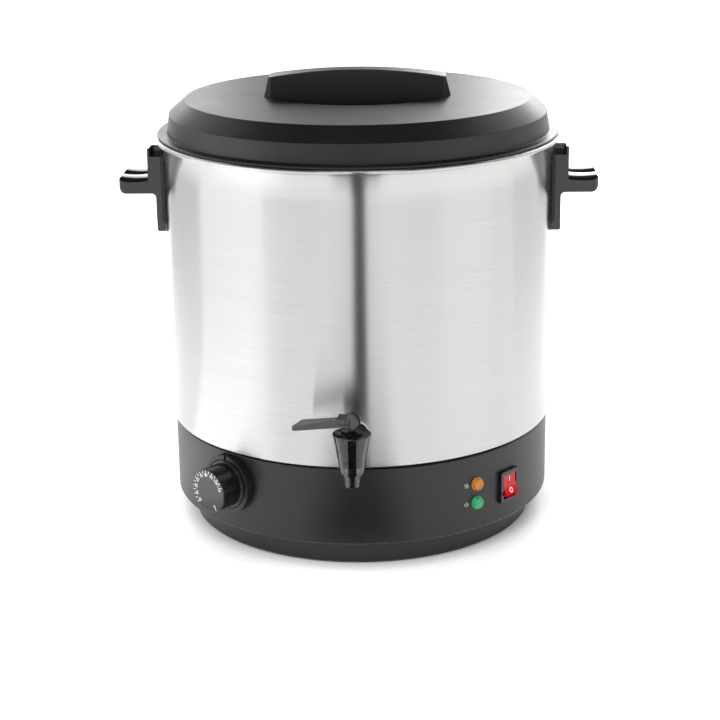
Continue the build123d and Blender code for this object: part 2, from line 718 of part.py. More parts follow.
def lid_cover():
    """Moulded lid: brim, skirt, sloped shoulder, flat plate and sunk finger well."""
    wall = LID_WALL
    spigot = TANK_INNER_RADIUS - MOVING_GAP
    shell = spin(
        (0, PLATE_HEIGHT),
        (PLATE_RADIUS, PLATE_HEIGHT, LID_EDGE_ROUND),
        (SHOULDER_RADIUS, SHOULDER_HEIGHT, LID_EDGE_ROUND),
        (SKIRT_RADIUS, BRIM_TOP, LID_ROOT_ROUND),
        (BRIM_RADIUS, BRIM_TOP, BRIM_ROUND),
        (BRIM_RADIUS, BRIM_BOTTOM, BRIM_ROUND),
        (spigot, BRIM_BOTTOM),
        (spigot, BRIM_BOTTOM - SPIGOT_DEPTH),
        (spigot - SPIGOT_WALL, BRIM_BOTTOM - SPIGOT_DEPTH),
        (SKIRT_RADIUS - wall, BRIM_TOP),
        (SHOULDER_RADIUS - wall, SHOULDER_HEIGHT - wall / 2),
        (PLATE_RADIUS - wall / 2, PLATE_HEIGHT - wall),
        (0, PLATE_HEIGHT - wall),
    )
    shell += lens(-wall, WELL_FLOOR - wall, PLATE_HEIGHT - wall / 2)
    shell -= lens(0, WELL_FLOOR, PLATE_HEIGHT + wall)
    for place in grip_screw_places(WELL_FLOOR - wall):
        shell -= place * rod(SCREW_RADIUS + CURVE_GAP, wall)
    return shell


def grip_screw_places(height):
    return [Pos(sign * GRIP_SCREW_SPACING / 2, 0, height) for sign in (1, -1)]


def grip_form(inset):
    """Bar with waisted sides, sloped ends and a crowned top, drawn in by inset."""
    half = GRIP_LENGTH / 2 - inset
    end = GRIP_END_WIDTH / 2 - inset
    waist = GRIP_WAIST / 2 - inset
    top = PLATE_HEIGHT + GRIP_RISE - inset
    plan = make_face([
        Line((-half, -end), (-half, end)),
        ThreePointArc((-half, end), (0, waist), (half, end)),
        Line((half, end), (half, -end)),
        ThreePointArc((half, -end), (0, -waist), (-half, -end)),
    ])
    near = half - GRIP_END_SLOPE - GRIP_END_CHAMFER
    corners = [(near, end), (half, end - GRIP_END_SLOPE - GRIP_END_CHAMFER)]
    trim = [(x, y) for x, y in corners] + [(x, -y) for x, y in reversed(corners)]
    trim += [(-x, -y) for x, y in corners] + [(-x, y) for x, y in reversed(corners)]
    column = Pos(0, 0, WELL_FLOOR) * extrude(plan & outline(*trim), top - WELL_FLOOR)
    crest = half - GRIP_END_SLOPE
    side = make_face([
        Line((-half, WELL_FLOOR), (half, WELL_FLOOR)),
        Line((half, WELL_FLOOR), (half, PLATE_HEIGHT)),
        Line((half, PLATE_HEIGHT), (crest, top - GRIP_CROWN)),
        ThreePointArc((crest, top - GRIP_CROWN), (0, top), (-crest, top - GRIP_CROWN)),
        Line((-crest, top - GRIP_CROWN), (-half, PLATE_HEIGHT)),
        Line((-half, PLATE_HEIGHT), (-half, WELL_FLOOR)),
    ])
    return column & extrude(Plane.XZ * side, GRIP_END_WIDTH, both=True)


def lid_grip():
    """Hollow grip bar across the finger well, screwed on from below."""
    below = Pos(0, 0, WELL_FLOOR) * block(2 * GRIP_LENGTH, 2 * GRIP_LENGTH, WELL_DEPTH)
    bar = grip_form(0)
    crest = bar.edges().filter_by(lambda edge: edge.center().Z > PLATE_HEIGHT + GRIP_CROWN)
    bar = fillet(crest, GRIP_EDGE_ROUND)
    bar = (bar - below) + (bar & lens(SEAT_GAP, WELL_FLOOR, PLATE_HEIGHT))
    bar -= grip_form(GRIP_WALL) & lens(GRIP_WALL, WELL_FLOOR, PLATE_HEIGHT + GRIP_RISE)
    for place in grip_screw_places(WELL_FLOOR):
        bar += place * rod(GRIP_BOSS_RADIUS, WELL_DEPTH + GRIP_RISE - GRIP_WALL) & grip_form(GRIP_WALL / 2)
    for place in grip_screw_places(WELL_FLOOR):
        bar -= place * rod(SCREW_RADIUS + RUNNING_GAP, SCREW_BITE)
    return bar


def lid_grip_screws():
    """Screws from inside the lid into the grip bar."""
    length = LID_WALL + SCREW_BITE - STUD_TAIL
    return group(place * screw(length) for place in grip_screw_places(WELL_FLOOR - LID_WALL))


# Side handles

def handle_profile():
    """Side outline of a handle: plate, shelf and upper block, from the tank outwards."""
    root = TANK_RADIUS - HANDLE_BLOCK
    plate = TANK_RADIUS + HANDLE_PLATE
    upper = TANK_RADIUS + HANDLE_BLOCK
    tip = TANK_RADIUS + HANDLE_REACH
    shelf_low = HANDLE_BOTTOM + SHELF_BOTTOM
    shelf_high = shelf_low + SHELF_THICKNESS
    return outline(
        (root, HANDLE_BOTTOM),
        (plate + HANDLE_LIP, HANDLE_BOTTOM, HANDLE_TOE_ROUND),
        (plate, HANDLE_BOTTOM + HANDLE_TOE),
        (plate, shelf_low, HANDLE_FILLET),
        (tip, shelf_low, SHELF_ROUND),
        (tip, shelf_high, SHELF_TIP_ROUND),
        (upper, shelf_high),
        (upper, HANDLE_TOP, HANDLE_TOP_ROUND),
        (root, HANDLE_TOP),
    )


def shelf_hollow():
    """Space over the shelf that leaves two rounded rolls, each dished from the tip to the block."""
    inner = TANK_RADIUS + HANDLE_BLOCK
    dish = chord_radius(HANDLE_REACH - HANDLE_BLOCK, SHELF_DISH)
    roll = chord_radius(HANDLE_WIDTH / 2, SHELF_ROLL)
    top = HANDLE_BOTTOM + SHELF_BOTTOM + SHELF_THICKNESS
    depth = SHELF_DISH + SHELF_ROLL
    corner = (Align.MIN, Align.CENTER, Align.MAX)
    block = Box(HANDLE_REACH, HANDLE_WIDTH, depth + 2 * CURVE_GAP, align=corner)
    space = Pos(inner, 0, top + CURVE_GAP) * block
    middle = TANK_RADIUS + (HANDLE_BLOCK + HANDLE_REACH) / 2
    for sign in (1, -1):
        centre = Pos(middle, sign * HANDLE_WIDTH / 4, top - SHELF_DISH + dish)
        space -= centre * Rot(90, 0, 0) * Torus(dish + roll, roll)
    return space


def handle():
    """Moulded handle on the right side of the tank."""
    half = HANDLE_WIDTH / 2
    tip = TANK_RADIUS + HANDLE_REACH
    root = TANK_RADIUS - HANDLE_BLOCK
    body = extrude(Plane.XZ * handle_profile(), half, both=True)
    face = TANK_RADIUS + HANDLE_FACE_MARGIN
    back = half - HANDLE_FACE_SLOPE * (face - root)
    plan = outline(
        (root, -back),
        (face, -half),
        (tip, -half, HANDLE_PLAN_ROUND),
        (tip, half, HANDLE_PLAN_ROUND),
        (face, half),
        (root, back),
    )
    body &= Pos(0, 0, HANDLE_BOTTOM) * extrude(plan, HANDLE_HEIGHT)
    body -= shelf_hollow()
    toe = half - HANDLE_TOE_CUT
    front = outline(
        (-toe, HANDLE_BOTTOM),
        (toe, HANDLE_BOTTOM),
        (half - HANDLE_TOE_STEP, HANDLE_BOTTOM + HANDLE_TOE),
        (half, HANDLE_BOTTOM + HANDLE_TOE),
        (half, HANDLE_TOP),
        (-half, HANDLE_TOP),
        (-half, HANDLE_BOTTOM + HANDLE_TOE),
        (HANDLE_TOE_STEP - half, HANDLE_BOTTOM + HANDLE_TOE),
    )
    body &= extrude(Plane.YZ * front, tip)
    upper = TANK_RADIUS + HANDLE_BLOCK - HANDLE_NOTCH_WALL
    corner = (Align.MAX, Align.CENTER, Align.MAX)
    notch = Box(2 * HANDLE_BLOCK, HANDLE_NOTCH_LENGTH, HANDLE_NOTCH_DEPTH, align=corner)
    for sign in (1, -1):
        body -= Pos(upper, sign * (half - HANDLE_NOTCH_LENGTH / 2), HANDLE_TOP) * notch
    return body - rod(TANK_RADIUS + CURVE_GAP, RIM_TOP)


def bored_handle():
    """Handle with its two screw holes."""
    body = handle()
    for height in handle_screw_heights():
        hole = Pos(0, height, TANK_RADIUS) * rod(SCREW_RADIUS + RUNNING_GAP, HANDLE_SCREW_BITE + STUD_TAIL)
        body -= sides()[0] * hole
    return body


def right_handle():
    return bored_handle()


def left_handle():
    return Rot(0, 0, 180) * bored_handle()


def handle_screws():
    """Screws from inside the tank into the handles."""
    seat = TANK_INNER_RADIUS - seal_sagitta() - SEAL_THICKNESS
    length = TANK_RADIUS - seat + HANDLE_SCREW_BITE
    return group(
        side * Pos(0, height, seat) * screw(length) for side in sides() for height in handle_screw_heights()
    )


def seal_sagitta():
    """How far a flat washer's edge stands off the curved inside of the tank."""
    return TANK_INNER_RADIUS - sqrt(TANK_INNER_RADIUS**2 - SEAL_RADIUS**2) + RUNNING_GAP


def handle_seals():
    """Silicone washers under the handle screw heads."""
    washer = pipe(SEAL_RADIUS, SCREW_RADIUS + RUNNING_GAP, SEAL_THICKNESS)
    seat = TANK_INNER_RADIUS - seal_sagitta() - SEAL_THICKNESS
    return group(
        side * Pos(0, height, seat) * washer for side in sides() for height in handle_screw_heights()
    )


# Tap

def tap_place():
    return Pos(0, TAP_Y, 0)


def tap_plane(distance):
    """Plane across the tap's shank, looking at the tap, at a distance outside the tank wall."""
    return Plane(origin=(0, -TANK_RADIUS - distance, TAP_PORT), x_dir=(1, 0, 0), z_dir=(0, -1, 0))


def tap_washer_gap():
    """Stand-off of a flat collar-sized washer on the round tank."""
    return TANK_INNER_RADIUS - sqrt(TANK_INNER_RADIUS**2 - TAP_COLLAR_RADIUS**2) + RUNNING_GAP


def tap_body():
    """Cone-shaped valve body with its nozzle and the shank through the tank wall."""
    neck = TAP_RIM - TAP_CONE_LENGTH
    shoulder = neck - TAP_SHOULDER_LENGTH
    mouth = shoulder - TAP_NOZZLE_LENGTH
    cone = spin(
        (0, mouth),
        (TAP_NOZZLE_RADIUS, mouth, EDGE_ROUND),
        (TAP_SHOULDER_RADIUS, shoulder),
        (TAP_NECK_RADIUS, neck, TAP_NECK_ROUND),
        (TAP_RIM_RADIUS, TAP_RIM, EDGE_ROUND),
        (0, TAP_RIM),
    )
    cone = tap_place() * cone
    collar = TAP_WASHER_THICKNESS + RUNNING_GAP
    cone += tap_plane(collar) * rod(TAP_COLLAR_RADIUS, TAP_COLLAR_THICKNESS)
    cone += tap_plane(-TAP_SHANK_TAIL) * rod(TAP_SHANK_RADIUS, TAP_SHANK_TAIL + TAP_STAND_OFF)
    cone -= tap_plane(-TAP_SHANK_TAIL) * rod(TAP_SHANK_BORE, TAP_SHANK_TAIL + TAP_STAND_OFF)
    cavity = Pos(0, 0, BONNET_SEAT) * rod(TAP_RIM_RADIUS - TAP_RIM_LIP, TAP_RIM_DEPTH)
    cavity += Pos(0, 0, SLEEVE_BOTTOM) * rod(TAP_BONNET_BORE_RADIUS, TAP_BONNET_DEPTH)
    cavity += Pos(0, 0, TAP_SEAT) * rod(TAP_CHAMBER_RADIUS, TAP_CHAMBER_DEPTH)
    cavity += Pos(0, 0, mouth) * rod(TAP_SEAT_RADIUS, TAP_RIM - mouth)
    return cone - tap_place() * cavity


def tap_bonnet():
    """Screw-in bonnet that closes the tap chamber and guides the stem."""
    flange = Pos(0, 0, BONNET_SEAT) * rod(TAP_RIM_RADIUS - TAP_RIM_LIP - SEAT_GAP, TAP_BONNET_FLANGE)
    sleeve = Pos(0, 0, SLEEVE_BOTTOM + SEAT_GAP) * rod(
        TAP_BONNET_BORE_RADIUS - SEAT_GAP, BONNET_SEAT - SLEEVE_BOTTOM - SEAT_GAP
    )
    hole = Pos(0, 0, SLEEVE_BOTTOM) * rod(STEM_RADIUS + RUNNING_GAP, TAP_BONNET_DEPTH)
    return tap_place() * (flange + sleeve - hole)


def tap_slip_ring():
    """Collar on the bonnet that turns with the lever and carries its cam."""
    ring = pipe(SLIP_RING_RADIUS, STEM_RADIUS + RUNNING_GAP, SLIP_RING_HEIGHT)
    return tap_place() * Pos(0, 0, BONNET_TOP + SEAT_GAP) * ring


def lever_plane():
    """Plane through the lever pin, with X along the lever and Y along the pin."""
    return Plane(origin=(0, TAP_Y, PIN_HEIGHT), z_dir=(0, 0, 1)) * Rot(0, 0, LEVER_BEARING)


def tap_stem():
    """Valve stem from the seal plug up to the lever pin, milled to a flat tang in the hub's slot."""
    bottom = TAP_SEAT + SEAT_GAP + SEAL_PLUG_HEIGHT - SEAL_PLUG_SOCKET
    stem = tap_place() * Pos(0, 0, bottom) * rod(STEM_RADIUS, PIN_HEIGHT + STEM_HEAD - bottom)
    reach = CAM_RADIUS - CAM_SHIFT + MOVING_GAP
    for sign in (1, -1):
        beside = (Align.CENTER, Align.MIN if sign > 0 else Align.MAX, Align.MIN)
        waste = Box(3 * STEM_RADIUS, 2 * STEM_RADIUS, reach + 2 * STEM_HEAD, align=beside)
        stem -= lever_plane() * Pos(0, sign * TANG_THICKNESS / 2, -reach) * waste
    return stem - lever_plane() * Rot(90, 0, 0) * Cylinder(PIN_RADIUS + RUNNING_GAP, HUB_WIDTH)


def tap_valve_seal():
    """Silicone plug that closes the seat hole."""
    plug = rod(SEAL_PLUG_RADIUS, SEAL_PLUG_HEIGHT)
    socket = rod(STEM_RADIUS + RUNNING_GAP, SEAL_PLUG_SOCKET)
    plug -= Pos(0, 0, SEAL_PLUG_HEIGHT - SEAL_PLUG_SOCKET) * socket
    return tap_place() * Pos(0, 0, TAP_SEAT + SEAT_GAP) * plug


def tap_spring():
    """Closing spring between the bonnet and the seal plug, drawn as a sleeve."""
    bottom = TAP_SEAT + 2 * SEAT_GAP + SEAL_PLUG_HEIGHT
    inner = STEM_RADIUS + MOVING_GAP
    sleeve = pipe(inner + SPRING_WALL, inner, SLEEVE_BOTTOM - bottom)
    return tap_place() * Pos(0, 0, bottom) * sleeve


def lever_paddle():
    """Neck and flat paddle of the lever: side outline crossed with plan outline."""
    neck = LEVER_NECK_THICKNESS / 2
    tip = LEVER_TIP_THICKNESS / 2
    side = outline(
        (0, -neck),
        (LEVER_LENGTH, -LEVER_DROOP - tip, tip / 2),
        (LEVER_LENGTH, -LEVER_DROOP + tip, tip / 2),
        (0, neck),
    )
    narrow = LEVER_NECK_WIDTH / 2
    wide = LEVER_TIP_WIDTH / 2
    plan = outline(
        (0, -narrow),
        (LEVER_NECK_LENGTH, -narrow),
        (LEVER_LENGTH, -wide, LEVER_TIP_ROUND),
        (LEVER_LENGTH, wide, LEVER_TIP_ROUND),
        (LEVER_NECK_LENGTH, narrow),
        (0, narrow),
    )
    slab = extrude(Plane.XZ * side, LEVER_TIP_WIDTH, both=True)
    return slab & extrude(plan, LEVER_LENGTH, both=True)


def tap_lever():
    """Lever with a forked cam hub that lifts the stem as it is raised."""
    drum = Cylinder(CAM_RADIUS, HUB_WIDTH)
    drum = fillet(drum.edges().filter_by(GeomType.CIRCLE), HUB_ROUND)
    hub = Pos(CAM_SHIFT, 0, CAM_RISE) * Rot(90, 0, 0) * drum
    beyond = (Align.MIN, Align.CENTER, Align.CENTER)
    hub -= Pos(HUB_FLAT, 0, 0) * Box(2 * CAM_RADIUS, 2 * HUB_WIDTH, 4 * CAM_RADIUS, align=beyond)
    slot_width = TANG_THICKNESS + 2 * MOVING_GAP
    slot = Box(4 * CAM_RADIUS, slot_width, 4 * CAM_RADIUS, align=(Align.MAX, Align.CENTER, Align.CENTER))
    barrel = rod(BARREL_RADIUS, BARREL_LENGTH)
    groove = pipe(2 * BARREL_RADIUS, BARREL_RADIUS - HUB_GROOVE_DEPTH, HUB_GROOVE_WIDTH)
    barrel = Rot(0, 90, 0) * (barrel - Pos(0, 0, HUB_FLAT) * groove)
    lever = Pos(0, 0, CAM_RISE) * (lever_paddle() + barrel) + hub
    lever -= Pos(2 * STEM_RADIUS, 0, 0) * slot
    lever -= Rot(90, 0, 0) * Cylinder(PIN_RADIUS + RUNNING_GAP, HUB_WIDTH)
    return lever_plane() * lever


def tap_pin():
    """Steel pin through the lever hub and the stem."""
    return lever_plane() * Rot(90, 0, 0) * Cylinder(PIN_RADIUS, HUB_WIDTH - 2 * CURVE_GAP)


def tap_washers():
    """Silicone washers outside and inside the tank wall."""
    washer = pipe(TAP_COLLAR_RADIUS, TAP_SHANK_RADIUS + RUNNING_GAP, TAP_WASHER_THICKNESS)
    inside = -TANK_WALL - tap_washer_gap() - TAP_WASHER_THICKNESS
    return group([tap_plane(RUNNING_GAP) * washer, tap_plane(inside) * washer])


def tap_nut():
    """Nut on the shank inside the tank."""
    nut = hexagon(TAP_NUT_RADIUS, TAP_NUT_LENGTH) - rod(TAP_SHANK_RADIUS + RUNNING_GAP, TAP_NUT_LENGTH)
    seat = -TANK_WALL - tap_washer_gap() - TAP_WASHER_THICKNESS - TAP_NUT_LENGTH
    return tap_plane(seat) * nut


# Thermostat

def knob_plane():
    return wall_plane(KNOB_BEARING, KNOB_HEIGHT)


def knob_screw_places(height):
    return [Pos(sign * THERMOSTAT_SCREW_SPACING / 2, 0, height) for sign in (1, -1)]


def knob_bezel():
    """Round bezel on the base wall that shrouds the knob's skirt."""
    sink = BEZEL_RADIUS**2 / BASE_RADIUS
    body = rod(BEZEL_RADIUS, BEZEL_PROUD + sink)
    body = Pos(0, 0, -sink) * fillet(body.edges().group_by(Axis.Z)[-1], EDGE_ROUND)
    body -= Pos(0, 0, BEZEL_FLOOR) * rod(BEZEL_RADIUS - BEZEL_RIM, BEZEL_PROUD)
    body -= Pos(0, 0, -sink) * rod(BUSHING_RADIUS + RUNNING_GAP, sink + BEZEL_PROUD)
    notch = Box(BEZEL_NOTCH_WIDTH, 2 * BEZEL_RIM, 2 * BEZEL_NOTCH_DEPTH)
    body -= Pos(0, BEZEL_RADIUS, BEZEL_PROUD) * notch
    for place in knob_screw_places(-sink):
        body -= place * rod(THERMOSTAT_SCREW_RADIUS + RUNNING_GAP, sink + BEZEL_PROUD)
    return knob_plane() * body - rod(BASE_RADIUS + RUNNING_GAP, BASE_TOP)


def thermostat_knob():
    """Turning knob with a thin skirt and a flat dial face."""
    skirt = BEZEL_FLOOR + THERMOSTAT_SCREW_HEAD_HEIGHT + 2 * MOVING_GAP
    body = spin(
        (0, skirt),
        (KNOB_SKIRT_RADIUS, skirt),
        (KNOB_SKIRT_RADIUS, skirt + KNOB_SKIRT_HEIGHT, EDGE_ROUND),
        (KNOB_RADIUS, skirt + KNOB_SKIRT_HEIGHT, EDGE_ROUND),
        (KNOB_RADIUS - KNOB_DRAFT, KNOB_FACE_HEIGHT, KNOB_EDGE_ROUND),
        (0, KNOB_FACE_HEIGHT),
    )
    body -= Pos(0, 0, skirt) * rod(SHAFT_RADIUS + RUNNING_GAP, KNOB_SOCKET_DEPTH)
    return knob_plane() * body


def thermostat_seat():
    """Distance from the outer wall to the flat back of the thermostat's bushing plate."""
    inner = BASE_RADIUS - BASE_WALL
    return BASE_WALL + inner - sqrt(inner**2 - (THERMOSTAT_WIDTH / 2) ** 2) + RUNNING_GAP


def thermostat_body():
    """Thermostat case behind the wall, with its bushing through it."""
    case = Pos(0, 0, -thermostat_seat() - THERMOSTAT_DEPTH) * block(
        THERMOSTAT_WIDTH, THERMOSTAT_TALL, THERMOSTAT_DEPTH
    )
    case += Pos(0, 0, -thermostat_seat()) * rod(BUSHING_RADIUS, thermostat_seat() + BEZEL_FLOOR)
    root = -thermostat_seat() - THERMOSTAT_SHAFT_ROOT
    case -= Pos(0, 0, root) * rod(SHAFT_RADIUS + RUNNING_GAP, BEZEL_FLOOR - root)
    for place in knob_screw_places(-thermostat_seat() - THERMOSTAT_SCREW_BITE):
        case -= place * rod(THERMOSTAT_SCREW_RADIUS + RUNNING_GAP, THERMOSTAT_SCREW_BITE)
    return knob_plane() * case


def thermostat_shaft():
    """Shaft that the knob turns inside the thermostat."""
    root = -thermostat_seat() - THERMOSTAT_SHAFT_ROOT + SEAT_GAP
    skirt = BEZEL_FLOOR + THERMOSTAT_SCREW_HEAD_HEIGHT + 2 * MOVING_GAP
    return knob_plane() * Pos(0, 0, root) * rod(SHAFT_RADIUS, skirt + KNOB_SOCKET_DEPTH - SEAT_GAP - root)


def thermostat_screws():
    """Screws through the bezel and the wall into the thermostat."""
    length = BEZEL_FLOOR + thermostat_seat() + THERMOSTAT_SCREW_BITE - SEAT_GAP
    pan = Pos(0, 0, length) * rod(THERMOSTAT_SCREW_HEAD, THERMOSTAT_SCREW_HEAD_HEIGHT)
    solid = rod(THERMOSTAT_SCREW_RADIUS, length) + pan
    return group(knob_plane() * place * solid for place in knob_screw_places(BEZEL_FLOOR - length))


# Switch

def switch_plane():
    return wall_plane(SWITCH_BEARING, SWITCH_HEIGHT)


def switch_body_size():
    inset = 2 * SWITCH_BODY_INSET
    return SWITCH_WIDTH - inset, SWITCH_TALL - inset


def switch_opening():
    return SWITCH_WIDTH - 2 * SWITCH_FRAME, SWITCH_TALL - 2 * SWITCH_FRAME


def switch_sink():
    """How far the round wall falls back at the sides of the switch."""
    return BASE_RADIUS - sqrt(BASE_RADIUS**2 - (SWITCH_WIDTH / 2) ** 2) + RUNNING_GAP


def switch_bezel():
    """Snap-in frame of the switch on the base wall."""
    sink = switch_sink()
    frame = Pos(0, 0, -sink) * extrude(
        RectangleRounded(SWITCH_WIDTH, SWITCH_TALL, SWITCH_CORNER), SWITCH_PROUD + sink
    )
    frame = chamfer(frame.edges().group_by(Axis.Z)[-1], EDGE_ROUND)
    width, tall = switch_opening()
    frame -= Pos(0, 0, -sink) * block(width, tall, SWITCH_PROUD + 2 * sink)
    return switch_plane() * frame - rod(BASE_RADIUS + RUNNING_GAP, BASE_TOP)


def switch_housing():
    """Switch body behind the frame, open to the front."""
    width, tall = switch_body_size()
    wall = 2 * SWITCH_BODY_WALL
    front = -switch_sink()
    body = Pos(0, 0, front - SWITCH_BODY_DEPTH) * block(width, tall, SWITCH_BODY_DEPTH)
    body -= Pos(0, 0, front - SWITCH_BODY_DEPTH + SWITCH_BODY_WALL) * block(
        width - wall, tall - wall, SWITCH_BODY_DEPTH
    )
    body -= rocker_pivot() * Cylinder(ROCKER_PIVOT_RADIUS + RUNNING_GAP, SWITCH_WIDTH)
    return switch_plane() * body


def rocker_pivot():
    """Pivot of the rocker, along the local X axis just behind the wall."""
    return Pos(0, 0, -ROCKER_DEPTH / 2) * Rot(0, 90, 0)


def switch_rocker():
    """See-saw rocker with a dished face, standing with its upper half pressed in."""
    width, tall = switch_opening()
    half = tall / 2 - ROCKER_END_GAP
    edge = ROCKER_PROUD + ROCKER_DISH
    side = make_face([
        ThreePointArc((-half, edge), (0, ROCKER_PROUD), (half, edge)),
        Line((half, edge), (half, 0)),
        Line((half, 0), (half / 2, -ROCKER_DEPTH)),
        Line((half / 2, -ROCKER_DEPTH), (-half / 2, -ROCKER_DEPTH)),
        Line((-half / 2, -ROCKER_DEPTH), (-half, 0)),
        Line((-half, 0), (-half, edge)),
    ])
    body = extrude(Plane.YZ * side, width / 2 - ROCKER_GAP, both=True)
    body -= rocker_pivot() * Cylinder(ROCKER_PIVOT_RADIUS + RUNNING_GAP, SWITCH_WIDTH)
    depth = Pos(0, 0, -ROCKER_DEPTH / 2)
    lean = depth * Rot(-ROCKER_TILT, 0, 0) * Pos(0, 0, ROCKER_DEPTH / 2)
    return switch_plane() * lean * body


def switch_pivot():
    """Pin that the rocker tilts on."""
    width = switch_body_size()[0]
    return switch_plane() * rocker_pivot() * Cylinder(ROCKER_PIVOT_RADIUS, width)


def switch_terminals():
    """Blade terminals at the back of the switch."""
    back = -switch_sink() - SWITCH_BODY_DEPTH
    blade = Pos(0, 0, back - SWITCH_PIN_LENGTH) * block(
        SWITCH_PIN_WIDTH, SWITCH_PIN_THICKNESS, SWITCH_PIN_LENGTH
    )
    return group(
        switch_plane() * Pos(0, sign * SWITCH_PIN_SPACING / 2, 0) * blade for sign in (1, -1)
    )


# Lamps

def lamp_heights():
    return [LAMP_HEIGHT + sign * LAMP_SPACING / 2 for sign in (1, -1)]


def lamp_lens():
    """Coloured lens with a stepped collar."""
    return Pos(0, 0, RUNNING_GAP) * spin(
        (0, 0),
        (LAMP_COLLAR_RADIUS, 0),
        (LAMP_COLLAR_RADIUS, LAMP_COLLAR_HEIGHT, EDGE_ROUND),
        (LAMP_LENS_RADIUS, LAMP_COLLAR_HEIGHT),
        (LAMP_LENS_RADIUS, LAMP_LENS_PROUD, LAMP_DOME),
        (0, LAMP_LENS_PROUD),
    )


def lamp_lens_amber():
    return wall_plane(LAMP_BEARING, lamp_heights()[0]) * lamp_lens()


def lamp_lens_green():
    return wall_plane(LAMP_BEARING, lamp_heights()[1]) * lamp_lens()


def lamp_bodies():
    """Threaded lamp holders through the wall."""
    body = Pos(0, 0, RUNNING_GAP - LAMP_BODY_LENGTH) * rod(LAMP_BODY_RADIUS, LAMP_BODY_LENGTH)
    return group(wall_plane(LAMP_BEARING, height) * body for height in lamp_heights())


def lamp_nuts():
    """Nuts that hold the lamps from inside."""
    nut = pipe(LAMP_NUT_RADIUS, LAMP_BODY_RADIUS + RUNNING_GAP, LAMP_NUT_HEIGHT)
    inner = BASE_RADIUS - BASE_WALL
    seat = BASE_WALL + inner - sqrt(inner**2 - LAMP_NUT_RADIUS**2) + RUNNING_GAP + LAMP_NUT_HEIGHT
    return group(wall_plane(LAMP_BEARING, height) * Pos(0, 0, -seat) * nut for height in lamp_heights())


PIECES = [
    tank, tank_studs, tank_nuts,
    base_gasket, base_housing, bottom_cover, foot_ring, cover_screws,
    heat_plate, heating_element, element_pins, thermal_cutouts,
    thermostat_bulb, bulb_clip, capillary, terminal_block, terminal_screws,
    cable_gland, gland_nut,
    lid_cover, lid_grip, lid_grip_screws,
    right_handle, left_handle, handle_screws, handle_seals,
    tap_body, tap_bonnet, tap_slip_ring, tap_stem, tap_valve_seal, tap_spring,
    tap_lever, tap_pin, tap_washers, tap_nut,
    knob_bezel, thermostat_knob, thermostat_body, thermostat_shaft, thermostat_screws,
    switch_bezel, switch_housing, switch_rocker, switch_pivot, switch_terminals,
    lamp_lens_amber, lamp_lens_green, lamp_bodies, lamp_nuts,
]

os.makedirs("parts", exist_ok=True)
for piece in PIECES:
    export_step(piece(), f"parts/{piece.__name__}.step")
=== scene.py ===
"""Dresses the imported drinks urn: finishes, printed marks, a coil spring and a small studio."""
import json
from math import cos, radians, sin

import bmesh
import bpy
import numpy as np
from mathutils import Euler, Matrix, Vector


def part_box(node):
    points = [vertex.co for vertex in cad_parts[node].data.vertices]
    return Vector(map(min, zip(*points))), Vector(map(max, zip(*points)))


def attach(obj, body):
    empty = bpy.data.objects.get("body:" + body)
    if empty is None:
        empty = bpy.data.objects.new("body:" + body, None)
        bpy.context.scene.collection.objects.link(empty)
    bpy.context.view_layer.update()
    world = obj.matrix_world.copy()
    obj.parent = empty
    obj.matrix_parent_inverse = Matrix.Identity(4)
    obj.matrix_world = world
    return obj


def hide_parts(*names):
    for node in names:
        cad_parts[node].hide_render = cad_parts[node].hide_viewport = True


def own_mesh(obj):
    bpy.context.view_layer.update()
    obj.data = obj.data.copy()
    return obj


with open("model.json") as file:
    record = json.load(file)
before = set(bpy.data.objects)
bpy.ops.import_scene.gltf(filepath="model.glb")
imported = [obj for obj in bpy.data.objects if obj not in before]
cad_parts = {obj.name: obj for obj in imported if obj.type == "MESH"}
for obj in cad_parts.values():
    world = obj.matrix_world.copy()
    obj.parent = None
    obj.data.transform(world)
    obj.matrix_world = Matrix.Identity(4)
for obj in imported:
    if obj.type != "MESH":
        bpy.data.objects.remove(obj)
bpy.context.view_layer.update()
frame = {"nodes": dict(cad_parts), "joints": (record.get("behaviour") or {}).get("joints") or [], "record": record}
JOINTS = {joint["name"]: joint for joint in frame["joints"]}

# Meshes: points closer than this become one, and edges past this many degrees are shaded sharp
MERGE = 1e-7
SHARP = 40

# Numbers of points on the new surfaces
TANK_ROUND = 288
WALL_POINTS = 12
BEAD_POINTS = 40
CORNER_POINTS = 6
MARK_ROUND, MARK_LONG = 16, 25
COIL_POINTS, WIRE_ROUND = 160, 10
STROKE_ROWS = 7
RING_POINTS = 41
SIGN_POINTS = 21
BRIM_POINTS = 5
FLOOR_POINTS = 41

# Tank: lowest point of the straight wall above the floor's underside, corner inside, angle on the
# bead's circle where the flare meets it, marked share of the depth, depth of a
# level mark in mark heights, squareness of its ends
WALL_START = 0.005
INNER_CORNER = 0.004
FLARE_END = 225
MARKED_SHARE = 0.9
MARK_DEPTH = 0.25
MARK_SQUARENESS = 8
CUBIC_METRES_PER_LITRE = 0.001

# Grain: width of the clouds in the roughness and height of the bump, both in grain widths
CLOUD_WIDTH = 60
GRAIN_HEIGHT = 0.25

# Knob: band behind the face that holds its edge, drop from the ticks to the middle of a number as a
# share of the digit height, height of a digit as a share of the type's size
FACE_BAND = 0.002
NUMBER_DROP = 0.6
DIGIT_SHARE = 0.7

# Rocker: least distance of its front from the pivot, weight of outward reach in finding its upper
# end, share of its half height that counts as the middle, half sizes of the round sign
FRONT_START = 0.004
END_WEIGHT = 0.2
MIDDLE_SHARE = 0.25
RING_HALF_WIDTH, RING_HALF_HEIGHT = 0.42, 0.5

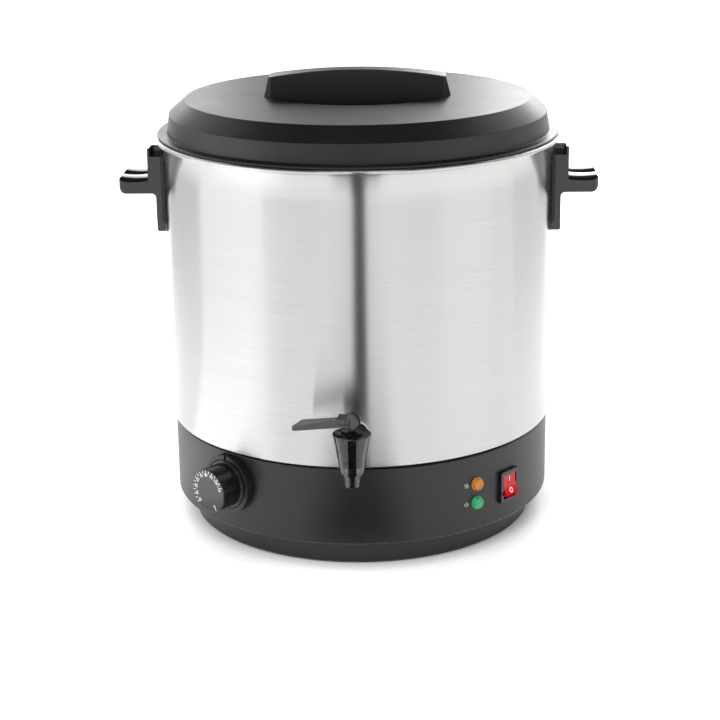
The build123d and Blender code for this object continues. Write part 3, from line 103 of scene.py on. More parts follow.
# Lamp signs, in half sign widths: sway and spacing of the heat waves, height of the bowl's brim,
# size and rise of the steam; then the steam's first point on a wave and the gap under the print
WAVE_SWAY = 0.25
WAVE_SPACING = 0.7
BRIM_HEIGHT = 0.3
STEAM_SIZE = 0.6
STEAM_RISE = 0.6
STEAM_START = 8
PRINT_GAP = 0.00002

# Surround: sines of the elevations where it starts and ends to darken, half the span of its fade
SKY_START, SKY_END = 0.08, 0.4
FADE_HALF = 0.3

# Floor: half its width, and how far it lies under the foot
FLOOR_HALF = 60
FLOOR_DROP = 0.0002

# Daylight: how wide it spreads and how it leans
DAYLIGHT_SPREAD = radians(100)
DAYLIGHT_LEAN = (radians(20), radians(-10), 0)

# Black card, a painted dark reflection: start of the apron, height over the floor, ease at the apron's end, far
# end, top
CARD_START = 0.04
CARD_LIFT = 0.002
CARD_EASE = 0.04
CARD_FAR = 2.0
CARD_TOP = 3.0

# Width of the camera's sensor in millimetres
SENSOR_WIDTH = 36

# Soft lights: name, place, the point faced, width and height, power in watts
LIGHTS = (
    ("left strip", (-1.2, -0.25, 0.5), (0, 0, 0.4), (1.3, 0.26), 2.4),
    ("left floor panel", (-0.42, -0.16, 0.003), (-0.42, -0.16, 1), (0.3, 0.4), 0.25),
    ("high front strip", (0.1, -1.9, 2.0), (0, 0, 0.3), (1.8, 0.3), 10),
    ("right softbox", (1.7, -0.8, 0.9), (0, 0, 0.2), (1.2, 1.5), 1.8),
    ("back left softbox", (-0.95, 2.5, 1.3), (0, 0, 0.4), (1.2, 1.5), 20.5),
    ("back right softbox", (0.8, 2.5, 1.3), (0, 0, 0.4), (1.3, 1.5), 43),
)

bl_info = {
    "name": "Drinks urn dressing",
    "version": (1, 0, 0),
    "blender": (4, 5, 0),
    "location": "3D View > Sidebar > Urn",
    "description": "Finishes, printed marks, tap spring and studio for the packed drinks urn",
    "category": "Object",
}


def linear(code):
    """Linear red, green and blue of an sRGB hex colour, by the sRGB curve."""
    parts = np.array([int(code[place:place + 2], 16) for place in (1, 3, 5)]) / 255
    return tuple(np.where(parts <= 0.04045, parts / 12.92, ((parts + 0.055) / 1.055) ** 2.4))


def distance(name, description, default):
    """Length setting in metres."""
    return bpy.props.FloatProperty(
        name=name, description=description, default=default, unit="LENGTH", precision=5
    )


def angle(name, description, degrees):
    """Angle setting, given in degrees and held in radians."""
    return bpy.props.FloatProperty(
        name=name, description=description, default=radians(degrees), subtype="ANGLE"
    )


def number(name, description, default):
    """Plain number setting."""
    return bpy.props.FloatProperty(name=name, description=description, default=default)


def count(name, description, default):
    """Whole number setting."""
    return bpy.props.IntProperty(name=name, description=description, default=default)


def tint(name, description, code):
    """Colour setting, given as an sRGB hex value and held as linear light."""
    return bpy.props.FloatVectorProperty(
        name=name, description=description, default=linear(code), subtype="COLOR", min=0, max=1
    )


# Settings


class UrnTankSettings(bpy.types.PropertyGroup):
    """Sizes and finish of the steel tank."""

    overhang: distance("Rim overhang", "How far the rolled rim stands out past the wall", 0.007)
    bead: distance("Rim bead", "Thickness of the rolled rim", 0.004)
    wall: distance("Wall", "Thickness of the steel wall", 0.001)
    floor: distance("Floor", "Thickness of the steel floor", 0.0015)
    corner: distance("Floor corner", "Rounding between the wall and the floor", 0.0008)
    stroke: distance("Brush stroke", "Length of a brush line round the tank", 0.09)
    line: distance(
        "Brush line", "Height of a brush line, drawn coarser than the real 0.2 mm to show", 0.0006
    )
    light: tint("Light steel", "Steel between the brush lines", "#c9c9c8")
    dark: tint("Dark steel", "Steel in the brush lines", "#b9b9b8")
    mark_length: distance("Level mark", "Length of a pressed level mark inside the tank", 0.03)
    mark_height: distance("Level mark height", "Height of a pressed level mark", 0.0024)
    mark_step: number("Level step", "Litres from one level mark to the next", 5.0)


class UrnPlasticSettings(bpy.types.PropertyGroup):
    """Colours and grain of the mouldings."""

    grain: distance(
        "Grain", "Width of the moulded grain, drawn coarser than the real 0.2 mm to show", 0.0007
    )
    satin: tint("Satin black", "Moulded base and lid", "#0b0b0c")
    gloss: tint("Gloss black", "Polished handles, knob and switch frame", "#0c0c0d")
    lever: tint("Lever", "Moulded tap lever", "#2e2e2f")
    smoke: tint("Smoke", "Tint of the clear tap body", "#58595c")
    ink: tint("Ink", "Printed numbers and signs", "#dededb")
    grey_ink: tint("Grey ink", "Printed signs beside the lamps", "#a9a9ac")
    red: tint("Rocker red", "Clear red rocker", "#b00416")
    amber: tint("Amber", "Amber lamp lens", "#d98a20")
    green: tint("Green", "Green lamp lens", "#35b878")


class UrnDialSettings(bpy.types.PropertyGroup):
    """Marks on the knob, the rocker and beside the lamps."""

    first: count("First number", "Lowest number on the dial", 30)
    last: count("Last number", "Highest number on the dial", 110)
    step: count("Step", "Step from one number to the next", 10)
    start: angle("Start", "Clock angle of the lowest number from the top", -135)
    end: angle("End", "Clock angle of the highest number from the top", 68)
    off: angle("Off", "Clock angle of the off mark from the top", 150)
    margin: distance("Tick margin", "From the edge of the face to the ticks", 0.0009)
    tick: distance("Tick length", "Length of a tick", 0.0024)
    tick_width: distance("Tick width", "Width of a tick", 0.00055)
    digit: distance("Digit height", "Height of a number", 0.0028)
    ink_depth: distance("Ink depth", "How far the ink stands proud", 0.00004)
    sign_width: distance("Rocker sign", "Width of the round sign on the rocker", 0.0042)
    sign_line: distance("Sign line", "Line width of the rocker's signs", 0.0009)
    sign_place: distance(
        "Sign place", "Height of each rocker sign from the rocker's middle", 0.0054
    )
    icon: distance("Lamp sign", "Width of the sign beside a lamp", 0.0042)
    icon_line: distance("Lamp sign line", "Line width of the lamp signs", 0.0005)
    icon_gap: distance(
        "Lamp sign gap", "From the middle of a lamp to the middle of its sign", 0.0112
    )


class UrnSpringSettings(bpy.types.PropertyGroup):
    """Coil spring in the tap."""

    turns: number("Turns", "Turns of the coil", 4.0)
    wire: distance("Wire", "Diameter of the spring wire", 0.0009)


class UrnStageSettings(bpy.types.PropertyGroup):
    """Camera, floor and lights."""

    camera_x: distance("Camera X", "Camera place to the right of the tap", 0.0606)
    camera_y: distance("Camera Y", "Camera place along the tap's direction", -1.6308)
    camera_z: distance("Camera height", "Camera height above the floor", 0.660)
    pitch: angle("Pitch", "How far the camera looks down", 17.65)
    yaw: angle("Yaw", "How far the camera turns to the left", 2.156)
    roll: angle("Roll", "How far the camera leans", -0.699)
    lens: number("Lens", "Focal length in millimetres on a 36 mm sensor", 88.87)
    floor: tint("Floor", "Pale floor", "#f4f4f3")
    horizon: number("Horizon", "Brightness of the white surround at eye level", 1.25)
    rear: number(
        "Rear", "Brightness of the surround behind the urn as a share of that in front", 0.34
    )
    backdrop: number(
        "Backdrop", "Brightness of the surround where the camera sees it past the floor", 1.05
    )
    zenith: number("Zenith", "Brightness of the surround overhead", 0.05)
    daylight: number("Daylight", "Strength of the even light from above", 4.6)
    flag_bearing: angle("Card bearing", "Direction of the black card that darkens reflections", 2.5)
    flag_apron: distance("Card apron", "Width of the black card close to the urn", 0.17)
    flag_reach: distance(
        "Card apron reach", "How far the wide part of the black card reaches from the tank", 0.25
    )
    flag_width: distance("Card width", "Width of the black card where its apron ends", 0.06)
    flag_spread: number("Card spread", "Growth of the card's width per metre from there", 0.1)
    edge_bearing: angle(
        "Edge card bearing", "Direction of the pale cards that shade the tank's edges", 116
    )
    edge_away: distance(
        "Edge card distance", "Distance of the pale cards from the urn's middle", 0.9
    )
    edge_width: distance("Edge card width", "Width of the pale cards", 0.7)
    edge_top: distance("Edge card top", "Height of the upper edge of the pale cards", 1.5)


SETTINGS = {
    "urn_tank": UrnTankSettings,
    "urn_plastic": UrnPlasticSettings,
    "urn_dial": UrnDialSettings,
    "urn_spring": UrnSpringSettings,
    "urn_stage": UrnStageSettings,
}


# Surfaces


def node_points(node):
    """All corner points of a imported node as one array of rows."""
    vertices = frame["nodes"][node].data.vertices
    points = np.empty(len(vertices) * 3)
    vertices.foreach_get("co", points)
    return points.reshape(-1, 3)


def arc(centre, radius, start, end, steps):
    """Points of an arc: centre plus radius times cosine and sine of evenly spaced angles."""
    turn = np.radians(np.linspace(start, end, steps))
    return np.array(centre) + radius * np.stack([np.cos(turn), np.sin(turn)], 1)


def turned(profile, steps):
    """Surface of revolution: each profile point goes round the Z axis at its own height."""
    turn = np.linspace(0, 2 * np.pi, steps, endpoint=False)
    radius, height = profile[:, :1], profile[:, 1:]
    level = np.broadcast_to(height, (len(profile), steps))
    return np.stack([radius * np.cos(turn), radius * np.sin(turn), level], 2)


def grid_faces(rows, columns, wrap_rows, wrap_columns):
    """Four-sided faces between neighbouring rows and columns of a grid of points."""
    row = np.arange(rows if wrap_rows else rows - 1)[:, None]
    column = np.arange(columns if wrap_columns else columns - 1)[None, :]
    next_row, next_column = (row + 1) % rows, (column + 1) % columns
    corners = [
        row * columns + column,
        row * columns + next_column,
        next_row * columns + next_column,
        next_row * columns + column,
    ]
    return np.stack(np.broadcast_arrays(*corners), 2).reshape(-1, 4)


def add_piece(name, grids, material, body, sharp=SHARP):
    """One object from grids of points, each with whether its rows and its columns close up."""
    points, faces, start = [], [], 0
    for grid, wrap_rows, wrap_columns in grids:
        rows, columns = grid.shape[:2]
        faces.append(grid_faces(rows, columns, wrap_rows, wrap_columns) + start)
        points.append(grid.reshape(-1, 3))
        start += rows * columns
    mesh = bpy.data.meshes.new(name)
    mesh.from_pydata(np.concatenate(points).tolist(), [], np.concatenate(faces).tolist())
    return finish_piece(mesh, material, body, sharp)


def finish_piece(mesh, material, body, sharp=SHARP):
    """Closes seams and poles, smooths the shading and links the mesh to ride on a body."""
    shape = bmesh.new()
    shape.from_mesh(mesh)
    bmesh.ops.remove_doubles(shape, verts=shape.verts, dist=MERGE)
    shape.to_mesh(mesh)
    shape.free()
    mesh.shade_smooth()
    mesh.set_sharp_from_angle(angle=radians(sharp))
    mesh.materials.append(material)
    piece = bpy.data.objects.new(mesh.name, mesh)
    bpy.context.scene.collection.objects.link(piece)
    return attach(piece, body)


def slab(flat, place, depth):
    """Thin closed slab: a flat grid laid by a place function at two heights, with edge walls."""
    rows, columns = flat.shape[:2]
    low, high = place(flat, 0), place(flat, depth)
    rim = [
        (0, slice(None)),
        (slice(None), columns - 1),
        (rows - 1, slice(None, None, -1)),
        (slice(None, None, -1), 0),
    ]
    walls = [np.stack([low[edge], high[edge]], 0) for edge in rim]
    grids = [high, low[:, ::-1], *walls]
    return [(grid, False, False) for grid in grids]


def bar(width, height, rows=2):
    """Flat rectangle of points about the origin, width across and height up."""
    across = np.array([-width / 2, width / 2])
    up = np.linspace(-height / 2, height / 2, rows)
    return np.stack(np.meshgrid(across, up), 2)


def ribbon(path, width):
    """Flat strip of points along a path, half the width to each side along its normal."""
    along = np.gradient(path, axis=0)
    along /= np.linalg.norm(along, axis=1)[:, None]
    normal = np.stack([along[:, 1], -along[:, 0]], 1)
    sides = np.array([-width / 2, width / 2])
    return path[:, None] + sides[None, :, None] * normal[:, None]


def flat_place(origin, right, up, out):
    """Place function for a flat face: right times x plus up times y plus out times the height."""
    def place(flat, height):
        return origin + flat[..., :1] * right + flat[..., 1:] * up + out * height
    return place


def clock_ways(turn):
    """Step out along a clock angle, sine and cosine, and across it, cosine and minus sine."""
    return np.array((sin(turn), cos(turn))), np.array((cos(turn), -sin(turn)))


# Finishes


def add(tree, kind, inputs=None, **settings):
    """Adds one node with its settings, and its inputs as values or as links from other sockets."""
    node = tree.nodes.new(kind)
    for name, value in settings.items():
        setattr(node, name, value)
    for socket, value in (inputs or {}).items():
        if isinstance(value, bpy.types.NodeSocket):
            tree.links.new(value, node.inputs[socket])
        else:
            node.inputs[socket].default_value = value
    return node


def new_finish(name, colour, roughness, metallic=0.0, **sockets):
    """Material with one Principled shader; sockets are named with underscores for spaces."""
    material = bpy.data.materials.new(name)
    material.use_nodes = True
    shader = material.node_tree.nodes["Principled BSDF"]
    shader.inputs["Base Color"].default_value = (*colour, 1)
    shader.inputs["Roughness"].default_value = roughness
    shader.inputs["Metallic"].default_value = metallic
    for socket, value in sockets.items():
        shader.inputs[socket.replace("_", " ")].default_value = value
    return material, material.node_tree, shader


def brushed_stainless():
    """Stainless steel brushed round the tank: fine lines that smear reflections up and down."""
    tank = bpy.context.scene.urn_tank
    material, tree, shader = new_finish(
        "stainless steel brushed round the tank", tank.light, roughness=0.26, metallic=1.0,
        Anisotropic=1.0, Anisotropic_Rotation=0.25,
    )
    place = add(tree, "ShaderNodeTexCoord").outputs["Object"]
    stretch = (1 / tank.stroke, 1 / tank.stroke, 1 / tank.line)
    lines = add(tree, "ShaderNodeMapping", {"Vector": place, "Scale": stretch}).outputs["Vector"]
    streak = add(tree, "ShaderNodeTexNoise", {
        "Vector": lines, "Scale": 1.0, "Detail": 3.0, "Roughness": 0.65,
    }).outputs["Fac"]
    tone = add(tree, "ShaderNodeMix", {
        "Factor": streak, "A": (*tank.dark, 1), "B": (*tank.light, 1),
    }, data_type="RGBA")
    rough = add(tree, "ShaderNodeMapRange", {"Value": streak, "To Min": 0.29, "To Max": 0.235})
    bump = add(tree, "ShaderNodeBump", {"Height": streak, "Strength": 0.02, "Distance": 0.0002})
    round_tank = add(tree, "ShaderNodeTangent", direction_type="RADIAL", axis="Z")
    tree.links.new(tone.outputs["Result"], shader.inputs["Base Color"])
    tree.links.new(rough.outputs["Result"], shader.inputs["Roughness"])
    tree.links.new(bump.outputs["Normal"], shader.inputs["Normal"])
    tree.links.new(round_tank.outputs["Tangent"], shader.inputs["Tangent"])
    return material


def grained(material, tree, shader, grain, strength, spread):
    """Adds a grain: noise of that width lifts the surface, wider clouds vary the roughness."""
    place = add(tree, "ShaderNodeTexCoord").outputs["Object"]
    noise = add(tree, "ShaderNodeTexNoise", {
        "Vector": place, "Scale": 1 / grain, "Detail": 2.0,
    })
    cloud = add(tree, "ShaderNodeTexNoise", {
        "Vector": place, "Scale": 1 / (CLOUD_WIDTH * grain), "Detail": 2.0,
    })
    base = shader.inputs["Roughness"].default_value
    rough = add(tree, "ShaderNodeMapRange", {
        "Value": cloud.outputs["Fac"], "To Min": base - spread, "To Max": base + spread,
    })
    bump = add(tree, "ShaderNodeBump", {
        "Height": noise.outputs["Fac"], "Strength": strength, "Distance": grain * GRAIN_HEIGHT,
    })
    tree.links.new(rough.outputs["Result"], shader.inputs["Roughness"])
    tree.links.new(bump.outputs["Normal"], shader.inputs["Normal"])
    return material


def plain_finishes():
    """Finishes of the slots that several pieces share, by the slot's name in the record."""
    plastic = bpy.context.scene.urn_plastic
    grain = plastic.grain
    return {
        # Polypropylene from a spark-eroded mould: a fine even grain and a wide soft sheen
        "satin_black": grained(
            *new_finish(
                "polypropylene spark grained black", plastic.satin, roughness=0.41, IOR=1.49
            ),
            grain, strength=0.08, spread=0.04,
        ),
        # Phenolic from a polished mould: deep black with clear reflections
        "gloss_black": grained(
            *new_finish("phenolic polished black", plastic.gloss, roughness=0.13, IOR=1.55),
            3 * grain, strength=0.02, spread=0.03,
        ),
        # Nitrile rubber, moulded: dull and dark
        "black_rubber": grained(
            *new_finish("nitrile rubber moulded", linear("#141414"), roughness=0.75, IOR=1.52),
            grain, strength=0.2, spread=0.06,
        ),
        # Silicone, moulded: milky and soft
        "white_silicone": grained(
            *new_finish("silicone moulded", linear("#dcdcd6"), roughness=0.5, IOR=1.41),
            grain, strength=0.08, spread=0.05,
        ),
        # Zinc plated steel, bright dipped: shiny with faint clouds
        "plain_steel": grained(
            *new_finish(
                "zinc plated steel bright", linear("#c6c8ca"), roughness=0.28, metallic=1.0
            ),
            grain, strength=0.05, spread=0.08,
        ),
        # Annealed steel sheath: grey brown from the heat
        "element_sheath": grained(
            *new_finish("steel sheath annealed", linear("#8a8680"), roughness=0.45, metallic=1.0),
            grain, strength=0.1, spread=0.1,
        ),
        # Rolled aluminium plate: pale with a soft shine
        "aluminium": grained(
            *new_finish("aluminium rolled", linear("#d4d5d7"), roughness=0.36, metallic=1.0),
            grain, strength=0.06, spread=0.08,
        ),
        # Drawn brass, unlacquered: warm yellow, lightly dulled
        "brass": grained(
            *new_finish("brass drawn", linear("#d2b063"), roughness=0.3, metallic=1.0),
            grain, strength=0.05, spread=0.08,
        ),
        # Drawn copper tube: red brown, lightly dulled
        "copper": grained(
            *new_finish("copper drawn", linear("#d9936f"), roughness=0.32, metallic=1.0),
            grain, strength=0.05, spread=0.08,
        ),
        # Steatite, pressed and fired: chalky white
        "white_moulding": grained(
            *new_finish("steatite pressed and fired", linear("#e2e0da"), roughness=0.55, IOR=1.6),
            grain, strength=0.1, spread=0.08,
        ),
    }


def clear_plastic(name, colour, roughness, spread, **sockets):
    """Coloured clear polycarbonate: tinted light passes in, the polished skin stays bright."""
    material, tree, shader = new_finish(name, colour, roughness, IOR=1.58, **sockets)
    return grained(material, tree, shader, grain=0.004, strength=0.02, spread=spread)


def show(node, material):
    """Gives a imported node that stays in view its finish."""
    for slot in frame["nodes"][node].material_slots:
        slot.material = material


# Operators


class URN_OT_fittings(bpy.types.Operator):
    """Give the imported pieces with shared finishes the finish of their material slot"""

    bl_idname = "urn.fittings"
    bl_label = "Finish the fittings"

    def execute(self, context):
        finishes = plain_finishes()
        for part in frame["record"]["subparts"]:
            if part["material_slot"] in finishes:
                show(part["node"], finishes[part["material_slot"]])
        return {"FINISHED"}


class URN_OT_tank(bpy.types.Operator):
    """Spin the steel tank with its rolled rim and press level marks inside it"""

    bl_idname = "urn.tank"
    bl_label = "Make the tank"

    def execute(self, context):
        tank = context.scene.urn_tank
        low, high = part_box("tank")
        outer = high.x - tank.overhang
        inner = outer - tank.wall
        bead = tank.bead / 2
        rim = (high.x - bead, high.z - bead)
        flare = rim[0] - outer
        lip = np.degrees(np.arcsin(tank.wall / bead))
        corner = (outer - tank.corner, low.z + tank.corner)
        inside = low.z + tank.floor
        # From the middle underneath up the wall, round the bead and down to the middle inside
        profile = np.concatenate([
            [(0, low.z)],
            arc(corner, tank.corner, -90, 0, CORNER_POINTS),
            np.stack([
                np.full(WALL_POINTS, outer),
                np.linspace(low.z + WALL_START, rim[1] - flare, WALL_POINTS),
            ], 1),
            arc(rim, bead, FLARE_END, FLARE_END + 360 - lip, BEAD_POINTS),
            [(inner, rim[1] - flare), (inner, inside + INNER_CORNER)],
            arc((inner - INNER_CORNER, inside + INNER_CORNER), INNER_CORNER, 0, -90, CORNER_POINTS),
            [(0, inside)],
        ])
        steel = brushed_stainless()
        shell = turned(profile, TANK_ROUND)
        pot = add_piece("steel_tank", [(shell, False, True)], steel, "urn", sharp=50)
        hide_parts("tank")
        litre = CUBIC_METRES_PER_LITRE / (np.pi * inner ** 2)
        depth = rim[1] - low.z - tank.floor
        levels = np.arange(tank.mark_step, MARKED_SHARE * depth / litre, tank.mark_step) * litre
        # A level mark is a flat bulge on the wall that closes to a point at both ends
        along = np.linspace(-1, 1, MARK_LONG)[None, :]
        across = along * tank.mark_length / 2 / inner + np.pi / 2
        swell = (1 - along ** MARK_SQUARENESS) ** 0.5
        bulge = np.linspace(0, 2 * np.pi, MARK_ROUND, endpoint=False)[:, None]
        radius = inner - tank.mark_height * MARK_DEPTH * np.sin(bulge) * swell
        marks = []
        for level in levels:
            height = inside + level - tank.mark_height / 2 * np.cos(bulge) * swell
            grid = np.stack([radius * np.cos(across), radius * np.sin(across), height], 2)
            marks.append((grid[:, ::-1], True, False))
        add_piece("tank_level_marks", marks, steel, "urn")
        return {"FINISHED"}


class URN_OT_tap(bpy.types.Operator):
    """Wind the tap's coil spring and give the tap its clear smoked body"""

    bl_idname = "urn.tap"
    bl_label = "Finish the tap"

    def execute(self, context):
        spring = context.scene.urn_spring
        low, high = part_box("tap_spring")
        wire = spring.wire / 2
        middle = (low + high) / 2
        radius = (high.x - low.x) / 2 - wire
        # The middle of the wire climbs evenly round the spring, with a circle of points about it
        along = np.linspace(0, 1, COIL_POINTS)[:, None]
        turn = 2 * np.pi * spring.turns * along
        round_wire = np.linspace(0, 2 * np.pi, WIRE_ROUND, endpoint=False)[None, :]
        reach = radius + wire * np.cos(round_wire)
        climb = low.z + wire + (high.z - low.z - 2 * wire) * along + wire * np.sin(round_wire)
        coil = np.stack([
            middle.x + reach * np.cos(turn),
            middle.y + reach * np.sin(turn),
            climb,
        ], 2)
        ends = [np.broadcast_to(coil[end].mean(0), (1, WIRE_ROUND, 3)) for end in (0, -1)]
        coil = np.concatenate([ends[0], coil, ends[1]])
        steel = frame["nodes"]["tap_spring"].material_slots[0].material
        wound = add_piece("tap_coil_spring", [(coil[:, ::-1], False, True)], steel, "urn", sharp=60)
        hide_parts("tap_spring")
        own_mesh(wound)
        plastic = context.scene.urn_plastic
        # Smoked polycarbonate, moulded clear: a little light passes, the dark insides show through
        show("tap_body", clear_plastic(
            "polycarbonate smoked clear", plastic.smoke, roughness=0.06, spread=0.02,
            Transmission_Weight=1.0,
        ))
        # Steel with black oxide: a dull dark metal
        show("tap_pin", grained(
            *new_finish("steel black oxide", linear("#2a2a2c"), roughness=0.4, metallic=1.0),
            grain=0.0006, strength=0.05, spread=0.06,
        ))
        # Acetal, moulded: dark grey with a waxy sheen
        show("tap_lever", grained(
            *new_finish("acetal moulded dark grey", plastic.lever, roughness=0.27, IOR=1.48),
            grain=0.0012, strength=0.03, spread=0.04,
        ))
        return {"FINISHED"}


class URN_OT_knob(bpy.types.Operator):
    """Print ticks and numbers on the thermostat knob"""

    bl_idname = "urn.knob"
    bl_label = "Print the dial"

    def execute(self, context):
        dial = context.scene.urn_dial
        joint = JOINTS["knob_turn"]
        out = np.array(joint["axis"])
        up = np.array((0.0, 0.0, 1.0))
        right = np.cross(up, out)
        points = node_points("thermostat_knob") - np.array(joint["pos_m"])
        face = (points @ out).max()
        front = points[points @ out > face - FACE_BAND]
        edge = np.abs(front @ up).max()
        place = flat_place(np.array(joint["pos_m"]) + out * face, right, up, out)
        # Pad printed ink: dull white, just proud of the face
        ink = grained(
            *new_finish("pad printed white ink", context.scene.urn_plastic.ink, roughness=0.5),
            grain=0.0005, strength=0.05, spread=0.05,
        )
        steps = (dial.last - dial.first) // dial.step
        clock = np.linspace(dial.start, dial.end, 2 * steps + 1)
        middle = edge - dial.margin - dial.tick / 2
        grids = []
        for turn in (*clock, dial.off):
            axis, across = clock_ways(turn)
            flat = bar(dial.tick_width, dial.tick)
            spot = axis * middle + flat[..., :1] * across + flat[..., 1:] * axis
            grids += slab(spot, place, dial.ink_depth)
        add_piece("dial_ticks", grids, ink, "knob")
        ring = middle - dial.tick / 2 - NUMBER_DROP * dial.digit
        labels = [
            (str(dial.first + index * dial.step), clock[2 * index]) for index in range(steps + 1)
        ]
        for label, turn in (*labels, ("0", dial.off)):
            self.print_number(label, turn, ring, place, ink, dial)
        return {"FINISHED"}

    def print_number(self, label, turn, ring, place, ink, dial):
        """Lays a line of type on the face, its foot to the middle of the dial."""
        text = bpy.data.curves.new("dial_number_" + label, "FONT")
        text.body = label
        text.size = dial.digit / DIGIT_SHARE
        text.align_x = "CENTER"
        text.align_y = "CENTER"
        text.extrude = dial.ink_depth / 2
        holder = bpy.data.objects.new(text.name, text)
        mesh = bpy.data.meshes.new_from_object(holder)
        bpy.data.objects.remove(holder)
        points = np.empty(len(mesh.vertices) * 3)
        mesh.vertices.foreach_get("co", points)
        points = points.reshape(-1, 3)
        axis, across = clock_ways(turn)
        flat = axis * ring + points[:, :1] * across + points[:, 1:2] * axis
        laid = place(flat, points[:, 2:] + dial.ink_depth / 2)
        mesh.vertices.foreach_set("co", laid.ravel())
        mesh.name = "dial_number_" + label
        finish_piece(mesh, ink, "knob")


class URN_OT_switch(bpy.types.Operator):
    """Tint the rocker red and print its on and off signs"""

    bl_idname = "urn.switch"
    bl_label = "Finish the switch"

    def execute(self, context):
        dial = context.scene.urn_dial
        plastic = context.scene.urn_plastic
        # Polycarbonate, moulded clear red: deep colour under a faint polished skin
        show("switch_rocker", clear_plastic(
            "polycarbonate clear red", plastic.red, roughness=0.05, spread=0.02,
            Specular_IOR_Level=0.25,
        ))
        place = self.rocker_face()
        # Hot stamped foil: dense white with a slight sheen
        ink = grained(
            *new_finish("hot stamped white", plastic.ink, roughness=0.4),
            grain=0.0005, strength=0.04, spread=0.05,
        )
        stroke = bar(dial.sign_line, dial.sign_width, STROKE_ROWS) + (0, dial.sign_place)
        turn = np.linspace(0, 2 * np.pi, RING_POINTS)
        oval = np.stack([np.sin(turn) * RING_HALF_WIDTH, np.cos(turn) * RING_HALF_HEIGHT], 1)
        round_sign = oval * dial.sign_width
        ring = ribbon(round_sign, dial.sign_line) - (0, dial.sign_place)
        grids = slab(stroke, place, dial.ink_depth) + slab(ring, place, dial.ink_depth)
        add_piece("rocker_signs", grids, ink, "rocker")
        return {"FINISHED"}

    def rocker_face(self):
        """Place function on the rocker's dished front, a circular hollow across its height."""
        joint = JOINTS["rocker_tilt"]
        pivot = np.array(joint["pos_m"])
        right = np.array(joint["axis"])
        points = node_points("switch_rocker") - pivot
        wall_out = np.cross(right, (0, 0, 1.0))
        tops = points[points @ wall_out > FRONT_START]
        lower = tops[tops[:, 2] < 0]
        upper = tops[tops[:, 2] > 0]
        low_end = lower[np.argmax(lower @ wall_out)]
        high_end = upper[np.argmax(upper[:, 2] + END_WEIGHT * (upper @ wall_out))]
        up = high_end - low_end
        up -= right * (up @ right)
        half = np.linalg.norm(up) / 2
        up /= 2 * half
        out = np.cross(right, up)
        chord = max(low_end @ out, high_end @ out)
        centre = (low_end @ up + high_end @ up) / 2
        middle = points[np.abs(points @ up - centre) < MIDDLE_SHARE * half]
        bottom = (middle @ out).max()
        sag = chord - bottom
        radius = (half ** 2 + sag ** 2) / (2 * sag)

        def place(flat, height):
            rise = flat[..., 1:]
            depth = bottom + radius - np.sqrt(radius ** 2 - rise ** 2)
            return pivot + flat[..., :1] * right + (centre + rise) * up + (depth + height) * out

        return place


class URN_OT_lamps(bpy.types.Operator):
    """Tint the lamp lenses and print a small sign beside each"""

    bl_idname = "urn.lamps"
    bl_label = "Finish the lamps"

    def execute(self, context):
        dial = context.scene.urn_dial
        plastic = context.scene.urn_plastic
        # Pad printed ink: dull grey, just proud of the wall
        ink = grained(
            *new_finish("pad printed grey ink", plastic.grey_ink, roughness=0.5),
            grain=0.0005, strength=0.05, spread=0.05,
        )
        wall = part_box("base_housing")[1].x
        half = dial.icon / 2
        sway = np.linspace(0, 2 * np.pi, SIGN_POINTS)
        rise = np.linspace(-half, half, SIGN_POINTS)
        wave = np.stack([np.sin(sway) * half * WAVE_SWAY, rise], 1)
        waves = [wave + (offset * half * WAVE_SPACING, 0) for offset in (-1, 0, 1)]
        turn = np.radians(np.linspace(-180, 0, SIGN_POINTS))
        edge = half * BRIM_HEIGHT
        bowl = np.stack([np.cos(turn) * half, np.sin(turn) * half + edge], 1)
        brim = np.stack([np.linspace(-half, half, BRIM_POINTS), np.full(BRIM_POINTS, edge)], 1)
        steam = wave[STEAM_START:] * STEAM_SIZE + (0, half * STEAM_RISE)
        signs = {"amber": waves, "green": [bowl, brim, steam]}
        for name, colour in (("amber", plastic.amber), ("green", plastic.green)):
            # Polycarbonate lens, moulded clear: coloured depth over the pale holder behind it
            glass = clear_plastic(
                "polycarbonate clear " + name, colour, roughness=0.05, spread=0.02,
                Transmission_Weight=0.6,
            )
            lens = "lamp_lens_" + name
            show(lens, glass)
            low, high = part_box(lens)
            centre = (low + high) / 2
            bearing = np.arctan2(centre.x, -centre.y) - dial.icon_gap / wall
            place = self.wall_place(bearing, centre.z, wall)
            grids = []
            for path in signs[name]:
                grids += slab(ribbon(path, dial.icon_line), place, dial.ink_depth)
            add_piece(name + "_lamp_sign", grids, ink, "urn")
        return {"FINISHED"}

    def wall_place(self, bearing, height, wall):
        """Place function on the round base wall: x goes round it as an arc length, y goes up."""
        def place(flat, lift):
            turn = bearing + flat[..., 0] / wall
            reach = wall + PRINT_GAP + lift
            up = height + flat[..., 1]
            return np.stack([reach * np.sin(turn), -reach * np.cos(turn), up], -1)
        return place


